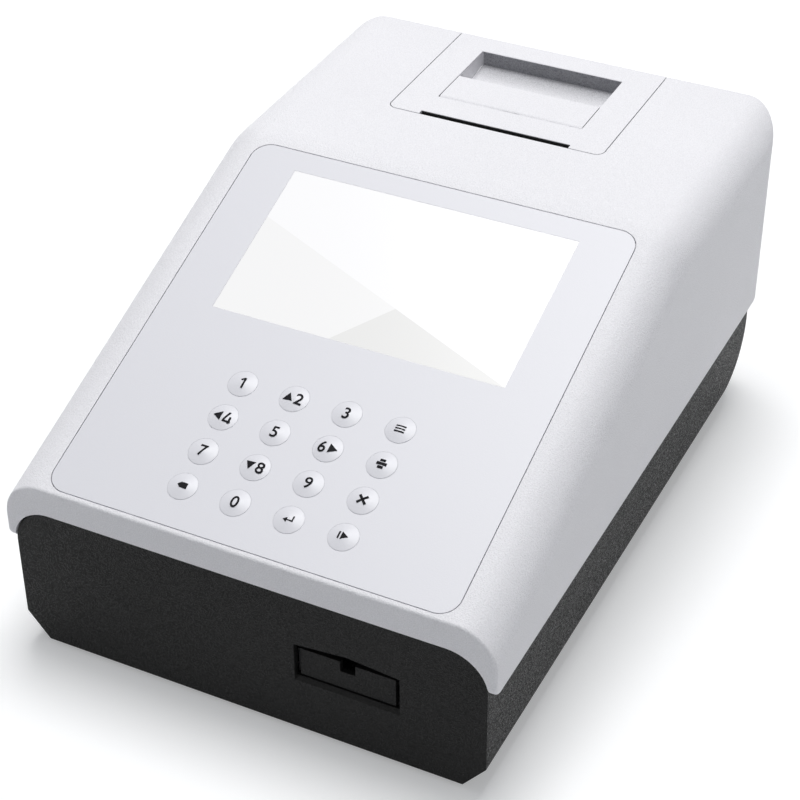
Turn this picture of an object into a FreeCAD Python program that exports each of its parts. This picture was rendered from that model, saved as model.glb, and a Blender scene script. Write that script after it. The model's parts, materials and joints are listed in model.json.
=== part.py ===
import FreeCAD, Part
import math
import os
from types import SimpleNamespace
import Sketcher

# Bench-top urine strip analyzer: a sloped cover with display, keys and a printer under a lid,
# on a tub-shaped base with a motor-driven strip tray behind a port in its front.
# Millimetres, +Z up, +Y to the back, origin on the bench under the middle of the case.

SIZES = {
    # case
    "case_width": 177.2,
    "case_depth": 254.4,
    "case_height": 122.3,
    "brow_height": 68.3,
    "arch_height": 58.0,
    "arch_round": 14.6,
    "flank_height": 43.8,
    "cover_wall": 2.6,
    "side_round": 14.6,
    "ridge_round": 30.0,
    "brow_round": 1.2,
    "flank_toe_round": 3.4,
    "rear_lean": 1.5,
    "seam_gap": 0.4,
    # base
    "base_width": 171.0,
    "base_wall": 2.5,
    "foot_height": 1.8,
    "foot_radius": 6.0,
    "foot_inset": 17.0,
    "foot_pad": 1.2,
    "base_setback": 0.5,
    "base_rear_round": 32.0,
    "base_side_rise": 10.0,
    "base_side_run": 8.0,
    "lip_height": 6.0,
    "lip_thickness": 2.2,
    "rear_panel_width": 132.0,
    "rear_panel_drop": 54.3,
    "screw_radius": 1.5,
    "screw_head_radius": 2.9,
    "screw_head_height": 2.2,
    "screw_reach": 9.0,
    "boss_radius": 4.0,
    "boss_inset": 20.0,
    "boss_front": 40.0,
    "boss_rear": 62.0,
    # control panel
    "overlay_width": 145.6,
    "overlay_length": 155.7,
    "overlay_start": 2.1,
    "panel_end": 4.77,
    "overlay_thickness": 1.2,
    "overlay_corner": 6.8,
    "overlay_gap": 0.3,
    "screen_width": 108.2,
    "screen_length": 63.7,
    "screen_margin": 8.7,
    "screen_lap": 2.5,
    "pane_gap": 0.12,
    "display_thickness": 5.5,
    "display_rim": 4.0,
    "key_radius": 5.0,
    "key_gap": 0.18,
    "key_crown": 0.95,
    "key_edge": 0.12,
    "key_skirt": 0.3,
    "key_stem_radius": 3.0,
    "key_stop_radius": 4.0,
    "key_stop_thickness": 1.0,
    "key_nub_radius": 1.4,
    "key_nub_length": 0.8,
    "key_pitch_across": 19.24,
    "key_pitch_along": 14.17,
    "key_start": 17.0,
    "key_travel": 0.5,
    "key_slack": 0.3,
    "tact_width": 6.0,
    "tact_height": 3.1,
    "tact_plunger_radius": 1.7,
    "tact_plunger_height": 0.7,
    "board_thickness": 1.6,
    "keypad_board_margin": 9.0,
    "keypad_post_radius": 3.0,
    # strip tray
    "port_centre": 36.9,
    "port_width": 37.4,
    "port_bottom": 23.9,
    "port_height": 13.9,
    "port_peak": 1.8,
    "port_sill": 1.3,
    "tray_gap_side": 1.8,
    "tray_gap_below": 1.2,
    "tray_gap_above": 1.8,
    "tray_recess": 1.0,
    "tray_length": 120.0,
    "tray_travel": 84.0,
    "tray_rail": 1.6,
    "tray_floor_height": 3.2,
    "tray_floor": 1.8,
    "tray_rail_height": 6.8,
    "tray_front": 2.0,
    "notch_width": 5.4,
    "notch_depth": 4.1,
    "insert_width": 24.0,
    "insert_start": 12.0,
    "insert_thickness": 1.9,
    "strip_channel_depth": 1.0,
    "gear_module": 1.0,
    "gear_width": 4.6,
    "rack_width": 5.0,
    "rack_margin": 8.2,
    "pinion_bore": 1.5,
    "pinion_teeth": 18,
    "gear_pressure_angle": 20.0,
    "mesh_play": 0.12,
    "guide_gap": 0.3,
    "guide_wall": 1.6,
    "guide_lip": 1.3,
    "guide_leg": 4.0,
    "running_gap": 0.05,
    "tray_motor_radius": 7.0,
    "tray_motor_hub_radius": 3.0,
    "tray_motor_length": 16.0,
    "tray_motor_right": 15.2,
    "bracket_thickness": 2.0,
    "bracket_half": 9.0,
    "head_width": 37.2,
    "head_depth": 25.0,
    "head_height": 18.0,
    "head_front": 19.0,
    "head_window": 6.0,
    # printer
    "lid_width": 83.8,
    "lid_depth": 64.8,
    "lid_gap": 0.35,
    "lid_plate": 2.2,
    "lid_corner": 3.2,
    "lid_skirt": 7.9,
    "recess_width": 57.0,
    "recess_start": 14.5,
    "recess_length": 39.6,
    "recess_rear_depth": 5.5,
    "recess_deep": 9.0,
    "recess_wall": 1.8,
    "flap_length": 17.9,
    "flap_gap": 0.3,
    "flap_thickness": 1.9,
    "flap_pin_radius": 0.8,
    "flap_spring_width": 6.0,
    "flap_spring_wire": 0.5,
    "slot_width": 58.6,
    "slot_depth": 2.3,
    "tear_pitch": 1.22,
    "tear_tooth": 0.8,
    "tear_thickness": 1.4,
    "tear_lip": 0.7,
    "tear_seat": 4.0,
    "hinge_pin_radius": 1.5,
    "hinge_inset": 6.3,
    "hinge_drop": 5.9,
    "hinge_ear_radius": 3.0,
    "hinge_ear_thickness": 2.0,
    "platen_radius": 5.0,
    "platen_length": 55.6,
    "platen_drop": 9.8,
    "platen_start": 6.0,
    "platen_shaft_radius": 1.5,
    "platen_arm_thickness": 2.0,
    "platen_arm_radius": 3.2,
    "bush_radius": 3.0,
    "bush_thickness": 1.8,
    "printer_module": 0.8,
    "printer_gear_width": 2.8,
    "platen_teeth": 16,
    "drive_teeth": 24,
    "motor_teeth": 12,
    "frame_plate": 1.4,
    "frame_start": 6.0,
    "frame_gap": 0.5,
    "notch_flare": 0.9,
    "notch_rise": 4.0,
    "shelf_thickness": 2.0,
    "shelf_width": 104.0,
    "shelf_depth": 76.5,
    "shelf_inset": 10.7,
    "shelf_boss_inset": 5.0,
    "shelf_boss_radius": 3.6,
    "roll_radius": 24.0,
    "roll_core_radius": 6.5,
    "roll_width": 57.5,
    "roll_inset": 34.4,
    "roll_clearance": 3.5,
    "trough_gap": 0.4,
    "trough_wall": 1.8,
    "trough_side_gap": 0.6,
    "print_head_thickness": 4.0,
    "print_head_height": 12.0,
    "paper_gap": 0.45,
    "leaf_thickness": 0.5,
    "printer_motor_radius": 6.5,
    "printer_motor_length": 15.0,
    # rear interfaces and main board
    "main_board_width": 70.0,
    "main_board_depth": 140.0,
    "main_board_left": 58.0,
    "main_board_front": 60.0,
    "board_post_height": 5.0,
    "port_row_drop": 14.0,
    "inlet_place": 27.0,
    "inlet_body": 11.0,
    "inlet_depth": 14.0,
    "inlet_radius": 4.5,
    "inlet_bore_radius": 2.8,
    "inlet_bore_depth": 9.5,
    "inlet_pin_radius": 1.0,
    "rear_board_low": 22.0,
    "rear_board_rise": 5.0,
    "usb_place": 3.0,
    "usb_pitch": 19.0,
    "usb_width": 13.1,
    "usb_height": 5.7,
    "usb_depth": 14.0,
    "usb_wall": 0.5,
    "usb_tongue": 1.8,
    "serial_place": 41.0,
    "serial_width": 30.8,
    "serial_height": 12.5,
    "serial_shell_width": 17.0,
    "serial_shell_height": 8.4,
    "serial_depth": 11.0,
    "serial_reach": 5.8,
    "switch_place": 50.0,
    "switch_width": 24.0,
    "switch_height": 15.0,
    "switch_flange": 2.0,
    "switch_rim": 1.6,
    "switch_wall": 1.2,
    "switch_depth": 12.0,
    "rocker_tilt": 10.0,
    "rocker_half": 7.6,
    "rocker_rise": 5.4,
    "rocker_dip": 4.2,
    "rocker_pin_radius": 1.2,
    "rocker_set_in": 1.6,
    # cutting tools run past what they cut by this much
    "overrun": 1.0,
}

doc = FreeCAD.newDocument("urine_analyzer")
sheet = doc.addObject("Spreadsheet::Sheet", "Sizes")
for line, (name, value) in enumerate(SIZES.items(), start=1):
    sheet.set(f"A{line}", name)
    sheet.set(f"B{line}", str(value))
    sheet.setAlias(f"B{line}", name)
doc.recompute()


class Measure:
    """A size with its value and the sheet expression that it comes from."""

    def __init__(self, value, text):
        self.value = value
        self.text = text

    def __add__(self, other):
        other = measure(other)
        return Measure(self.value + other.value, f"({self.text} + {other.text})")

    def __sub__(self, other):
        other = measure(other)
        return Measure(self.value - other.value, f"({self.text} - {other.text})")

    def __mul__(self, other):
        other = measure(other)
        return Measure(self.value * other.value, f"{self.text} * {other.text}")

    def __truediv__(self, other):
        other = measure(other)
        return Measure(self.value / other.value, f"({self.text} / {other.text})")

    def __neg__(self):
        return Measure(-self.value, f"(-1 * {self.text})")


def measure(number):
    if isinstance(number, Measure):
        return number
    return Measure(float(number), f"({number})")


def sine(angle):
    return Measure(math.sin(math.radians(angle.value)), f"sin({angle.text})")


def cosine(angle):
    return Measure(math.cos(math.radians(angle.value)), f"cos({angle.text})")


def tangent(angle):
    return Measure(math.tan(math.radians(angle.value)), f"tan({angle.text})")


def arcsine(share):
    return Measure(math.degrees(math.asin(share.value)), f"asin({share.text})")


def root(square):
    return Measure(math.sqrt(square.value), f"sqrt({square.text})")


dim = SimpleNamespace(**{name: Measure(float(sheet.get(name)), f"Sizes.{name}") for name in SIZES})
NOTHING = measure(0)
FLIPS = {"XY_Plane": 1, "YZ_Plane": 1, "XZ_Plane": -1}
NODES = {}
ORIGIN = FreeCAD.Vector(0, 0, 0)
ALONG_X = FreeCAD.Vector(1, 0, 0)
ALONG_Y = FreeCAD.Vector(0, 1, 0)
ALONG_Z = FreeCAD.Vector(0, 0, 1)
QUARTER_TURNS = {"x": (ALONG_Y, 90), "y": (ALONG_X, -90), "z": (ALONG_Z, 0)}


def bind(thing, prop, size):
    thing.setExpression(prop, measure(size).text)


def seat(thing, x, y, z):
    for letter, size in (("x", x), ("y", y), ("z", z)):
        bind(thing, f"Placement.Base.{letter}", size)
    return thing


def node(name, thing):
    thing.Label = name
    NODES[name] = thing
    return thing


def box(label, x, y, z):
    """A block between a low and a high size along each axis."""
    thing = doc.addObject("Part::Box", label)
    for prop, (low, high) in (("Length", x), ("Width", y), ("Height", z)):
        bind(thing, prop, measure(high) - low)
    return seat(thing, x[0], y[0], z[0])


def rod(label, axis, start, length, radius):
    """A cylinder from its start point along +X, +Y or +Z."""
    thing = doc.addObject("Part::Cylinder", label)
    thing.Placement = FreeCAD.Placement(ORIGIN, FreeCAD.Rotation(*QUARTER_TURNS[axis]))
    bind(thing, "Height", length)
    bind(thing, "Radius", radius)
    return seat(thing, *start)


def drill(label, axis, start, length, radius):
    """A cylinder to cut with, which runs past both ends of the wall that it goes through."""
    index = "xyz".index(axis)
    begin = [measure(size) for size in start]
    begin[index] = begin[index] - dim.overrun
    return rod(label, axis, begin, measure(length) + dim.overrun * 2, radius)


def fuse(label, things):
    thing = doc.addObject("Part::MultiFuse", label)
    thing.Shapes = things
    thing.Refine = True
    return thing


def common(label, things):
    thing = doc.addObject("Part::MultiCommon", label)
    thing.Shapes = things
    return thing


def cut(label, stock, tools):
    thing = doc.addObject("Part::Cut", label)
    thing.Base = stock
    thing.Tool = tools[0] if len(tools) == 1 else fuse(label + "_tools", tools)
    return thing


def new_body(label):
    return doc.addObject("PartDesign::Body", label)


def new_sketch(body, plane, offset):
    sketch = body.newObject("Sketcher::SketchObject", body.Label + "_sketch")
    support = [feature for feature in body.Origin.OriginFeatures if feature.Role == plane][0]
    sketch.AttachmentSupport = [(support, "")]
    sketch.MapMode = "FlatFace"
    bind(sketch, "AttachmentOffset.Base.z", offset)
    return sketch


def hold(sketch, edge, end, x, y):
    """Dimension one end of an edge from the sketch's origin."""
    for kind, size in (("DistanceX", measure(x)), ("DistanceY", measure(y))):
        index = sketch.addConstraint(Sketcher.Constraint(kind, -1, 1, edge, end, size.value))
        sketch.setExpression(f"Constraints[{index}]", size.text)


def add_edge(sketch, before, here):
    """Add the edge that leads from one path point to the next, and say which ends are which."""
    first = FreeCAD.Vector(measure(before[0]).value, measure(before[1]).value, 0)
    last = FreeCAD.Vector(measure(here[0]).value, measure(here[1]).value, 0)
    if len(here) == 2:
        return sketch.addGeometry(Part.LineSegment(first, last), False), 1, 2
    radius = measure(here[2])
    size = abs(radius.value)
    side = 1 if radius.value > 0 else -1
    half = (last - first) * 0.5
    rise = math.sqrt(max(size * size - half.Length * half.Length, 0))
    normal = FreeCAD.Vector(-half.y, half.x, 0).normalize() * (rise * side)
    centre = first + half + normal
    angles = [math.atan2(point.y - centre.y, point.x - centre.x) for point in (first, last)]
    if side < 0:
        angles.reverse()
    circle = Part.Circle(centre, ALONG_Z, size)
    edge = sketch.addGeometry(Part.ArcOfCircle(circle, angles[0], angles[1]), False)
    index = sketch.addConstraint(Sketcher.Constraint("Radius", edge, size))
    sketch.setExpression(f"Constraints[{index}]", (radius if side > 0 else -radius).text)
    return (edge, 1, 2) if side > 0 else (edge, 2, 1)


def draw(sketch, path):
    """Draw a closed path of (x, y) points. A third size is the radius of the arc that leads to
    the point, and is negative where the arc turns right."""
    edges = [add_edge(sketch, path[index - 1], here) for index, here in enumerate(path)]
    for index, (edge, _, end) in enumerate(edges):
        following, start, _ = edges[(index + 1) % len(edges)]
        sketch.addConstraint(Sketcher.Constraint("Coincident", edge, end, following, start))
        hold(sketch, edge, end, path[index][0], path[index][1])


def ring(sketch, x, y, radius):
    centre = FreeCAD.Vector(measure(x).value, measure(y).value, 0)
    edge = sketch.addGeometry(Part.Circle(centre, ALONG_Z, radius.value), False)
    index = sketch.addConstraint(Sketcher.Constraint("Radius", edge, radius.value))
    sketch.setExpression(f"Constraints[{index}]", radius.text)
    hold(sketch, edge, 3, x, y)


def start_of(plane, low, high):
    """Offset of a sketch whose extrusion covers low to high along the plane's world axis."""
    return measure(low) if FLIPS[plane] > 0 else -measure(high)


def prism(body, plane, path, low, high):
    """Pad a closed path from low to high along the axis across the plane."""
    sketch = new_sketch(body, plane, start_of(plane, low, high))
    draw(sketch, path)
    pad = body.newObject("PartDesign::Pad", body.Label + "_pad")
    pad.Profile = sketch
    bind(pad, "Length", measure(high) - low)
    return pad


def pocket(body, plane, path, low, high):
    """Cut a closed path from low to high along the axis across the plane."""
    offset = measure(high) if FLIPS[plane] > 0 else -measure(low)
    sketch = new_sketch(body, plane, offset)
    draw(sketch, path)
    cutter = body.newObject("PartDesign::Pocket", body.Label + "_pocket")
    cutter.Profile = sketch
    bind(cutter, "Length", measure(high) - low)
    return cutter


def disc(body, plane, x, y, radius, low, high):
    """Pad a circle from low to high along the axis across the plane."""
    sketch = new_sketch(body, plane, start_of(plane, low, high))
    ring(sketch, x, y, radius)
    pad = body.newObject("PartDesign::Pad", body.Label + "_disc")
    pad.Profile = sketch
    bind(pad, "Length", measure(high) - low)
    return pad


def bore(body, plane, x, y, radius, low, high):
    """Cut a circle from low to high along the axis across the plane."""
    offset = measure(high) if FLIPS[plane] > 0 else -measure(low)
    sketch = new_sketch(body, plane, offset)
    ring(sketch, x, y, radius)
    cutter = body.newObject("PartDesign::Pocket", body.Label + "_bore")
    cutter.Profile = sketch
    bind(cutter, "Length", measure(high) - low)
    return cutter


def turned(body, path):
    """Revolve a closed path in the XZ plane about the Z axis."""
    sketch = new_sketch(body, "XZ_Plane", 0)
    draw(sketch, path)
    solid = body.newObject("PartDesign::Revolution", body.Label + "_turned")
    solid.Profile = sketch
    solid.ReferenceAxis = (sketch, ["V_Axis"])
    solid.Angle = 360
    return solid


def rectangle(x, y):
    return [(x[0], y[0]), (x[1], y[0]), (x[1], y[1]), (x[0], y[1])]


def rounded(x, y, radius):
    """A rectangle with all four corners rounded, drawn anticlockwise."""
    return [
        (x[1] - radius, y[0]),
        (x[1], y[0] + radius, radius),
        (x[1], y[1] - radius),
        (x[1] - radius, y[1], radius),
        (x[0] + radius, y[1]),
        (x[0], y[1] - radius, radius),
        (x[0], y[0] + radius),
        (x[0] + radius, y[0], radius),
    ]


def around(centre, half):
    return (centre - half, centre + half)


def edges_where(shape, test):
    """Names of the edges of a shape whose middle point and direction pass a test."""
    names = []
    for index, edge in enumerate(shape.Edges, start=1):
        middle = edge.valueAt((edge.FirstParameter + edge.LastParameter) / 2)
        along = edge.tangentAt((edge.FirstParameter + edge.LastParameter) / 2)
        if test(middle, along):
            names.append(f"Edge{index}")
    return names


def soften(body, feature_type, test, size):
    """Fillet or chamfer the edges of a body's last feature that pass a test."""
    doc.recompute()
    base = body.Tip
    feature = body.newObject(feature_type, body.Label + "_edges")
    feature.Base = (base, edges_where(base.Shape, test))
    if feature_type == "PartDesign::Fillet":
        bind(feature, "Radius", size)
    else:
        feature.ChamferType = "Two distances"
        bind(feature, "Size", size[0])
        bind(feature, "Size2", size[1])
    body.Tip = feature
    return feature


# Places that many pieces share

half_width = dim.case_width / 2
front = -dim.case_depth / 2
rear = dim.case_depth / 2
panel_length = dim.overlay_start + dim.overlay_length + dim.panel_end
panel_slope = arcsine((dim.case_height - dim.brow_height) / panel_length)
ridge = front + panel_length * cosine(panel_slope)
rear_low = rear - dim.rear_lean
base_floor = dim.foot_height + dim.base_wall
base_front = front + dim.base_setback
base_rear = rear_low - dim.seam_gap / 2
base_top = dim.flank_height - dim.seam_gap
plate_under = dim.case_height - dim.cover_wall

PANEL_TEXT = (
    f"placement(vector(0; {front.text}; {dim.brow_height.text}); "
    f"rotation(vector(1; 0; 0); {panel_slope.text}))"
)


def on_panel(thing, across=NOTHING, along=NOTHING, above=NOTHING):
    """Place a piece in the panel's own axes: across the case, up the slope and out of it."""
    place = f"vector({across.text}; {along.text}; {above.text})"
    turn = "rotation(vector(1; 0; 0); 0)"
    thing.setExpression("Placement", f"{PANEL_TEXT} * placement({place}; {turn})")
    return thing


# Case form

def case_form(label, inset, foot):
    """The outside of the cover, or its inside when set in by the wall thickness."""
    body = new_body(label)
    slope_drop = inset / cosine(panel_slope)
    top = dim.case_height - inset
    face = front + inset
    brow = dim.brow_height - slope_drop + inset * tangent(panel_slope)
    crest = ridge + (slope_drop - inset) / tangent(panel_slope)
    back = rear - inset
    fall = (dim.flank_height - foot) / (dim.case_height - dim.flank_height)
    back_foot = rear_low - inset - dim.rear_lean * fall
    side = half_width - inset
    toe = dim.flank_toe_round
    profile = [
        (back_foot, foot),
        (back, top),
        (crest, top),
        (face, brow),
        (face, foot + toe),
        (face + toe, foot, toe),
    ]
    prism(body, "YZ_Plane", profile, -side, side)

    def is_crest(middle, along):
        return abs(along.x) > 0.999 and abs(middle.y - crest.value) + abs(middle.z - top.value) < 1e-3

    def is_side(middle, along):
        clear_of_foot = middle.z > foot.value + dim.flank_toe_round.value
        return abs(abs(middle.x) - side.value) < 1e-3 and clear_of_foot and middle.y > face.value + 1e-3

    soften(body, "PartDesign::Fillet", is_crest, dim.ridge_round)
    soften(body, "PartDesign::Fillet", is_side, dim.side_round - inset)
    return body


def cover_outside():
    """The closed outside of the cover, which the printer lid shares."""
    body = case_form("cover_outside", NOTHING, dim.flank_height)

    def is_rim(middle, along):
        at_face = abs(middle.y - front.value) < 1e-3 and abs(along.y) < 0.7
        on_flank = abs(abs(middle.x) - half_width.value) < 1e-3
        at_foot = middle.z < dim.flank_height.value + dim.flank_toe_round.value
        return at_face or (on_flank and at_foot and abs(along.y) > 0.1)

    soften(body, "PartDesign::Fillet", is_rim, dim.brow_round)
    return body


# Base form

def base_form(label, inset, top):
    """The outside of the base tub, or its inside when set in by the wall thickness."""
    body = new_body(label)
    low = dim.foot_height + inset
    face = base_front + inset
    back = base_rear - inset
    side = dim.base_width / 2 - inset
    bend = dim.base_rear_round - inset
    profile = [(face, low), (back - bend, low), (back, low + bend, bend), (back, top), (face, top)]
    prism(body, "YZ_Plane", profile, -side, side)

    def is_lower_side(middle, along):
        inside = middle.y > face.value + 1e-3 and middle.z < top.value - 1e-3
        return abs(abs(middle.x) - side.value) < 1e-3 and inside

    cuts = (dim.base_side_run - inset / 2, dim.base_side_rise - inset / 2)
    soften(body, "PartDesign::Chamfer", is_lower_side, cuts)
    return body


def arch_path(half, low, high, bend):
    return [
        (half, low),
        (half, high - bend),
        (half - bend, high, bend),
        (-half + bend, high),
        (-half, high - bend, bend),
        (-half, low),
    ]


# Where things stand

key_columns = [dim.key_pitch_across * share for share in (-1.5, -0.5, 0.5, 1.5)]
key_rows = [dim.key_start + dim.key_pitch_along * share for share in (3, 2, 1, 0)]
key_places = [(column, row) for row in key_rows for column in key_columns]
key_names = [
    "key_1", "key_2", "key_3", "key_menu", "key_4", "key_5", "key_6", "key_print",
    "key_7", "key_8", "key_9", "key_cancel", "key_clear", "key_0", "key_enter", "key_start",
]
stop_top = -dim.cover_wall - dim.key_slack
stop_bottom = stop_top - dim.key_stop_thickness
nub_bottom = stop_bottom - dim.key_nub_length
plunger_top = nub_bottom - dim.key_travel - dim.key_slack
keypad_board_top = plunger_top - dim.tact_plunger_height - dim.tact_height
keypad_half = dim.key_pitch_across * 1.5 + dim.key_radius + dim.keypad_board_margin
keypad_low = dim.key_start - dim.key_radius - dim.keypad_board_margin
keypad_high = dim.key_start + dim.key_pitch_along * 3 + dim.key_radius + dim.keypad_board_margin

screen_start = dim.overlay_start + dim.overlay_length - dim.screen_margin - dim.screen_length
rear_panel_top = dim.case_height - dim.rear_panel_drop
port_row = rear_panel_top - dim.port_row_drop

port_low = dim.port_bottom
port_high = dim.port_bottom + dim.port_height
port_left = dim.port_centre - dim.port_width / 2
port_right = dim.port_centre + dim.port_width / 2
tray_left = port_left + dim.tray_gap_side
tray_right = port_right - dim.tray_gap_side
tray_low = port_low + dim.tray_gap_below
tray_high = port_high - dim.tray_gap_above
tray_front = base_front + dim.tray_recess
tray_rear = tray_front + dim.tray_length
tray_floor_low = tray_low + dim.tray_floor_height
tray_floor_high = tray_floor_low + dim.tray_floor
pinion_y = tray_rear - dim.rack_margin - dim.tray_travel
pitch_radius = dim.gear_module * dim.pinion_teeth / 2
# gear teeth: their tip, root and rim, in modules from the pitch line
tip_share = 0.95
root_share = 1.2
rim_share = 0.9
root_lap_share = 0.1
flank_shares = (-root_share, -0.35, 0.3, tip_share)
pitch_height = tray_floor_low - dim.gear_module * (root_share + rim_share)
pinion_z = pitch_height - pitch_radius
guide_top = tray_low + dim.tray_rail_height + dim.guide_gap + dim.guide_lip

lid_y = rear - dim.lid_depth
lid_skirt_low = dim.case_height - dim.lid_skirt
lid_half = dim.lid_width / 2
hinge_y = rear - dim.hinge_inset
hinge_z = dim.case_height - dim.hinge_drop
platen_y = lid_y + dim.platen_start
platen_z = dim.case_height - dim.platen_drop
roll_y = rear - dim.roll_inset
recess_y = lid_y + dim.recess_start
recess_under = dim.case_height - dim.recess_deep - dim.recess_wall
roll_z = recess_under - dim.roll_clearance - dim.roll_radius
platen_pitch = dim.printer_module * dim.platen_teeth / 2
drive_pitch = dim.printer_module * dim.drive_teeth / 2
motor_pitch = dim.printer_module * dim.motor_teeth / 2
drive_z = platen_z - platen_pitch - drive_pitch
motor_y = platen_y - drive_pitch - motor_pitch
# the printer's motor rests on the shelf
shelf_top = drive_z - dim.printer_motor_radius
shelf_low = shelf_top - dim.shelf_thickness
shelf_rear = rear - dim.shelf_inset
shelf_front = shelf_rear - dim.shelf_depth
frame_front = shelf_front + dim.frame_start
arm_inside = dim.platen_length / 2 + dim.guide_gap
arm_outside = arm_inside + dim.platen_arm_thickness
plate_inside = arm_outside + dim.frame_gap
plate_outside = plate_inside + dim.frame_plate
gear_inside = plate_outside + dim.frame_gap
gear_outside = gear_inside + dim.printer_gear_width
boss_places = [
    (side, place)
    for side in (
        -half_width + dim.cover_wall + dim.boss_inset,
        half_width - dim.cover_wall - dim.boss_inset,
    )
    for place in (front + dim.boss_front, rear - dim.boss_rear)
]
shelf_places = [
    (side, place)
    for side in (
        -dim.shelf_width / 2 + dim.shelf_boss_inset,
        dim.shelf_width / 2 - dim.shelf_boss_inset,
    )
    for place in (shelf_front + dim.shelf_boss_inset, shelf_rear - dim.shelf_boss_inset)
]


# Top cover

def cover_bosses():
    """Screw posts for the base, the printer shelf and the keypad board, trimmed to the form."""
    posts = []
    for x, y in boss_places:
        posts.append(
            rod("case_post", "z", (x, y, base_top), dim.case_height - base_top, dim.boss_radius)
        )
    for x, y in shelf_places:
        tall = dim.case_height - shelf_top
        posts.append(rod("shelf_post", "z", (x, y, shelf_top), tall, dim.shelf_boss_radius))
    tall = -dim.cover_wall / 2 - keypad_board_top
    inset = dim.keypad_post_radius
    for x in (-keypad_half + inset, keypad_half - inset):
        for along in (keypad_low + inset, keypad_high - inset):
            post = rod("keypad_post", "z", (NOTHING, NOTHING, NOTHING), tall, dim.keypad_post_radius)
            posts.append(on_panel(post, x, along, keypad_board_top))
    return posts


def panel_tools():
    """The overlay's recess, the display opening and the key holes, in the panel's axes."""
    recess = new_body("overlay_recess")
    half = dim.overlay_width / 2 + dim.overlay_gap
    along = (
        dim.overlay_start - dim.overlay_gap,
        dim.overlay_start + dim.overlay_length + dim.overlay_gap,
    )
    path = rounded((-half, half), along, dim.overlay_corner + dim.overlay_gap)
    prism(recess, "XY_Plane", path, -dim.overlay_thickness, dim.overrun)
    opening = new_body("display_opening")
    half = dim.screen_width / 2 - dim.screen_lap
    along = (screen_start + dim.screen_lap, screen_start + dim.screen_length - dim.screen_lap)
    prism(opening, "XY_Plane", rectangle((-half, half), along), -dim.cover_wall - dim.overrun, NOTHING)
    tools = [on_panel(recess), on_panel(opening)]
    for x, along in key_places:
        hole = rod(
            "key_hole",
            "z",
            (NOTHING, NOTHING, NOTHING),
            dim.cover_wall,
            dim.key_stem_radius + dim.key_slack,
        )
        tools.append(on_panel(hole, x, along, -dim.cover_wall - dim.overrun))
    return tools


def top_cover(outside):
    inside = case_form("cover_inside", dim.cover_wall, dim.flank_height - dim.overrun)
    shell = cut("cover_shell", outside, [inside])
    low = dim.flank_height - dim.overrun
    arch = new_body("front_arch")
    path = arch_path(dim.base_width / 2 + dim.seam_gap, low, dim.arch_height, dim.arch_round)
    prism(arch, "XZ_Plane", path, front - dim.overrun, front + dim.cover_wall + dim.overrun)
    half = dim.rear_panel_width / 2 + dim.seam_gap
    back_window = box(
        "rear_window",
        (-half, half),
        (rear_low - dim.cover_wall - dim.overrun, rear),
        (low, rear_panel_top + dim.seam_gap),
    )
    lid_room = new_body("lid_room")
    half = lid_half + dim.lid_gap
    corner = dim.lid_corner + dim.lid_gap
    near = lid_y - dim.lid_gap
    path = [
        (half - corner, near),
        (half, near + corner, corner),
        (half, rear + dim.overrun),
        (-half, rear + dim.overrun),
        (-half, near + corner),
        (-half + corner, near, corner),
    ]
    sweep_low = hinge_z - (rear - hinge_y) - dim.lid_gap
    prism(lid_room, "XY_Plane", path, sweep_low, dim.case_height + dim.overrun)
    half = dim.slot_width / 2 + dim.paper_gap
    tear_seat = box(
        "tear_seat",
        (-half, half),
        (near - dim.tear_seat, near + dim.overrun),
        (plate_under - dim.overrun, dim.case_height - dim.tear_lip),
    )
    posts = common("cover_posts", [fuse("cover_post_set", cover_bosses()), outside])
    body = fuse("cover_body", [shell, posts])
    pilots = [
        drill("case_pilot", "z", (x, y, base_top), dim.screw_reach, dim.screw_radius)
        for x, y in boss_places
    ]
    tools = [arch, back_window, lid_room, tear_seat] + panel_tools() + pilots
    node("top_cover", cut("top_cover", body, tools))


# Base shell

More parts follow.
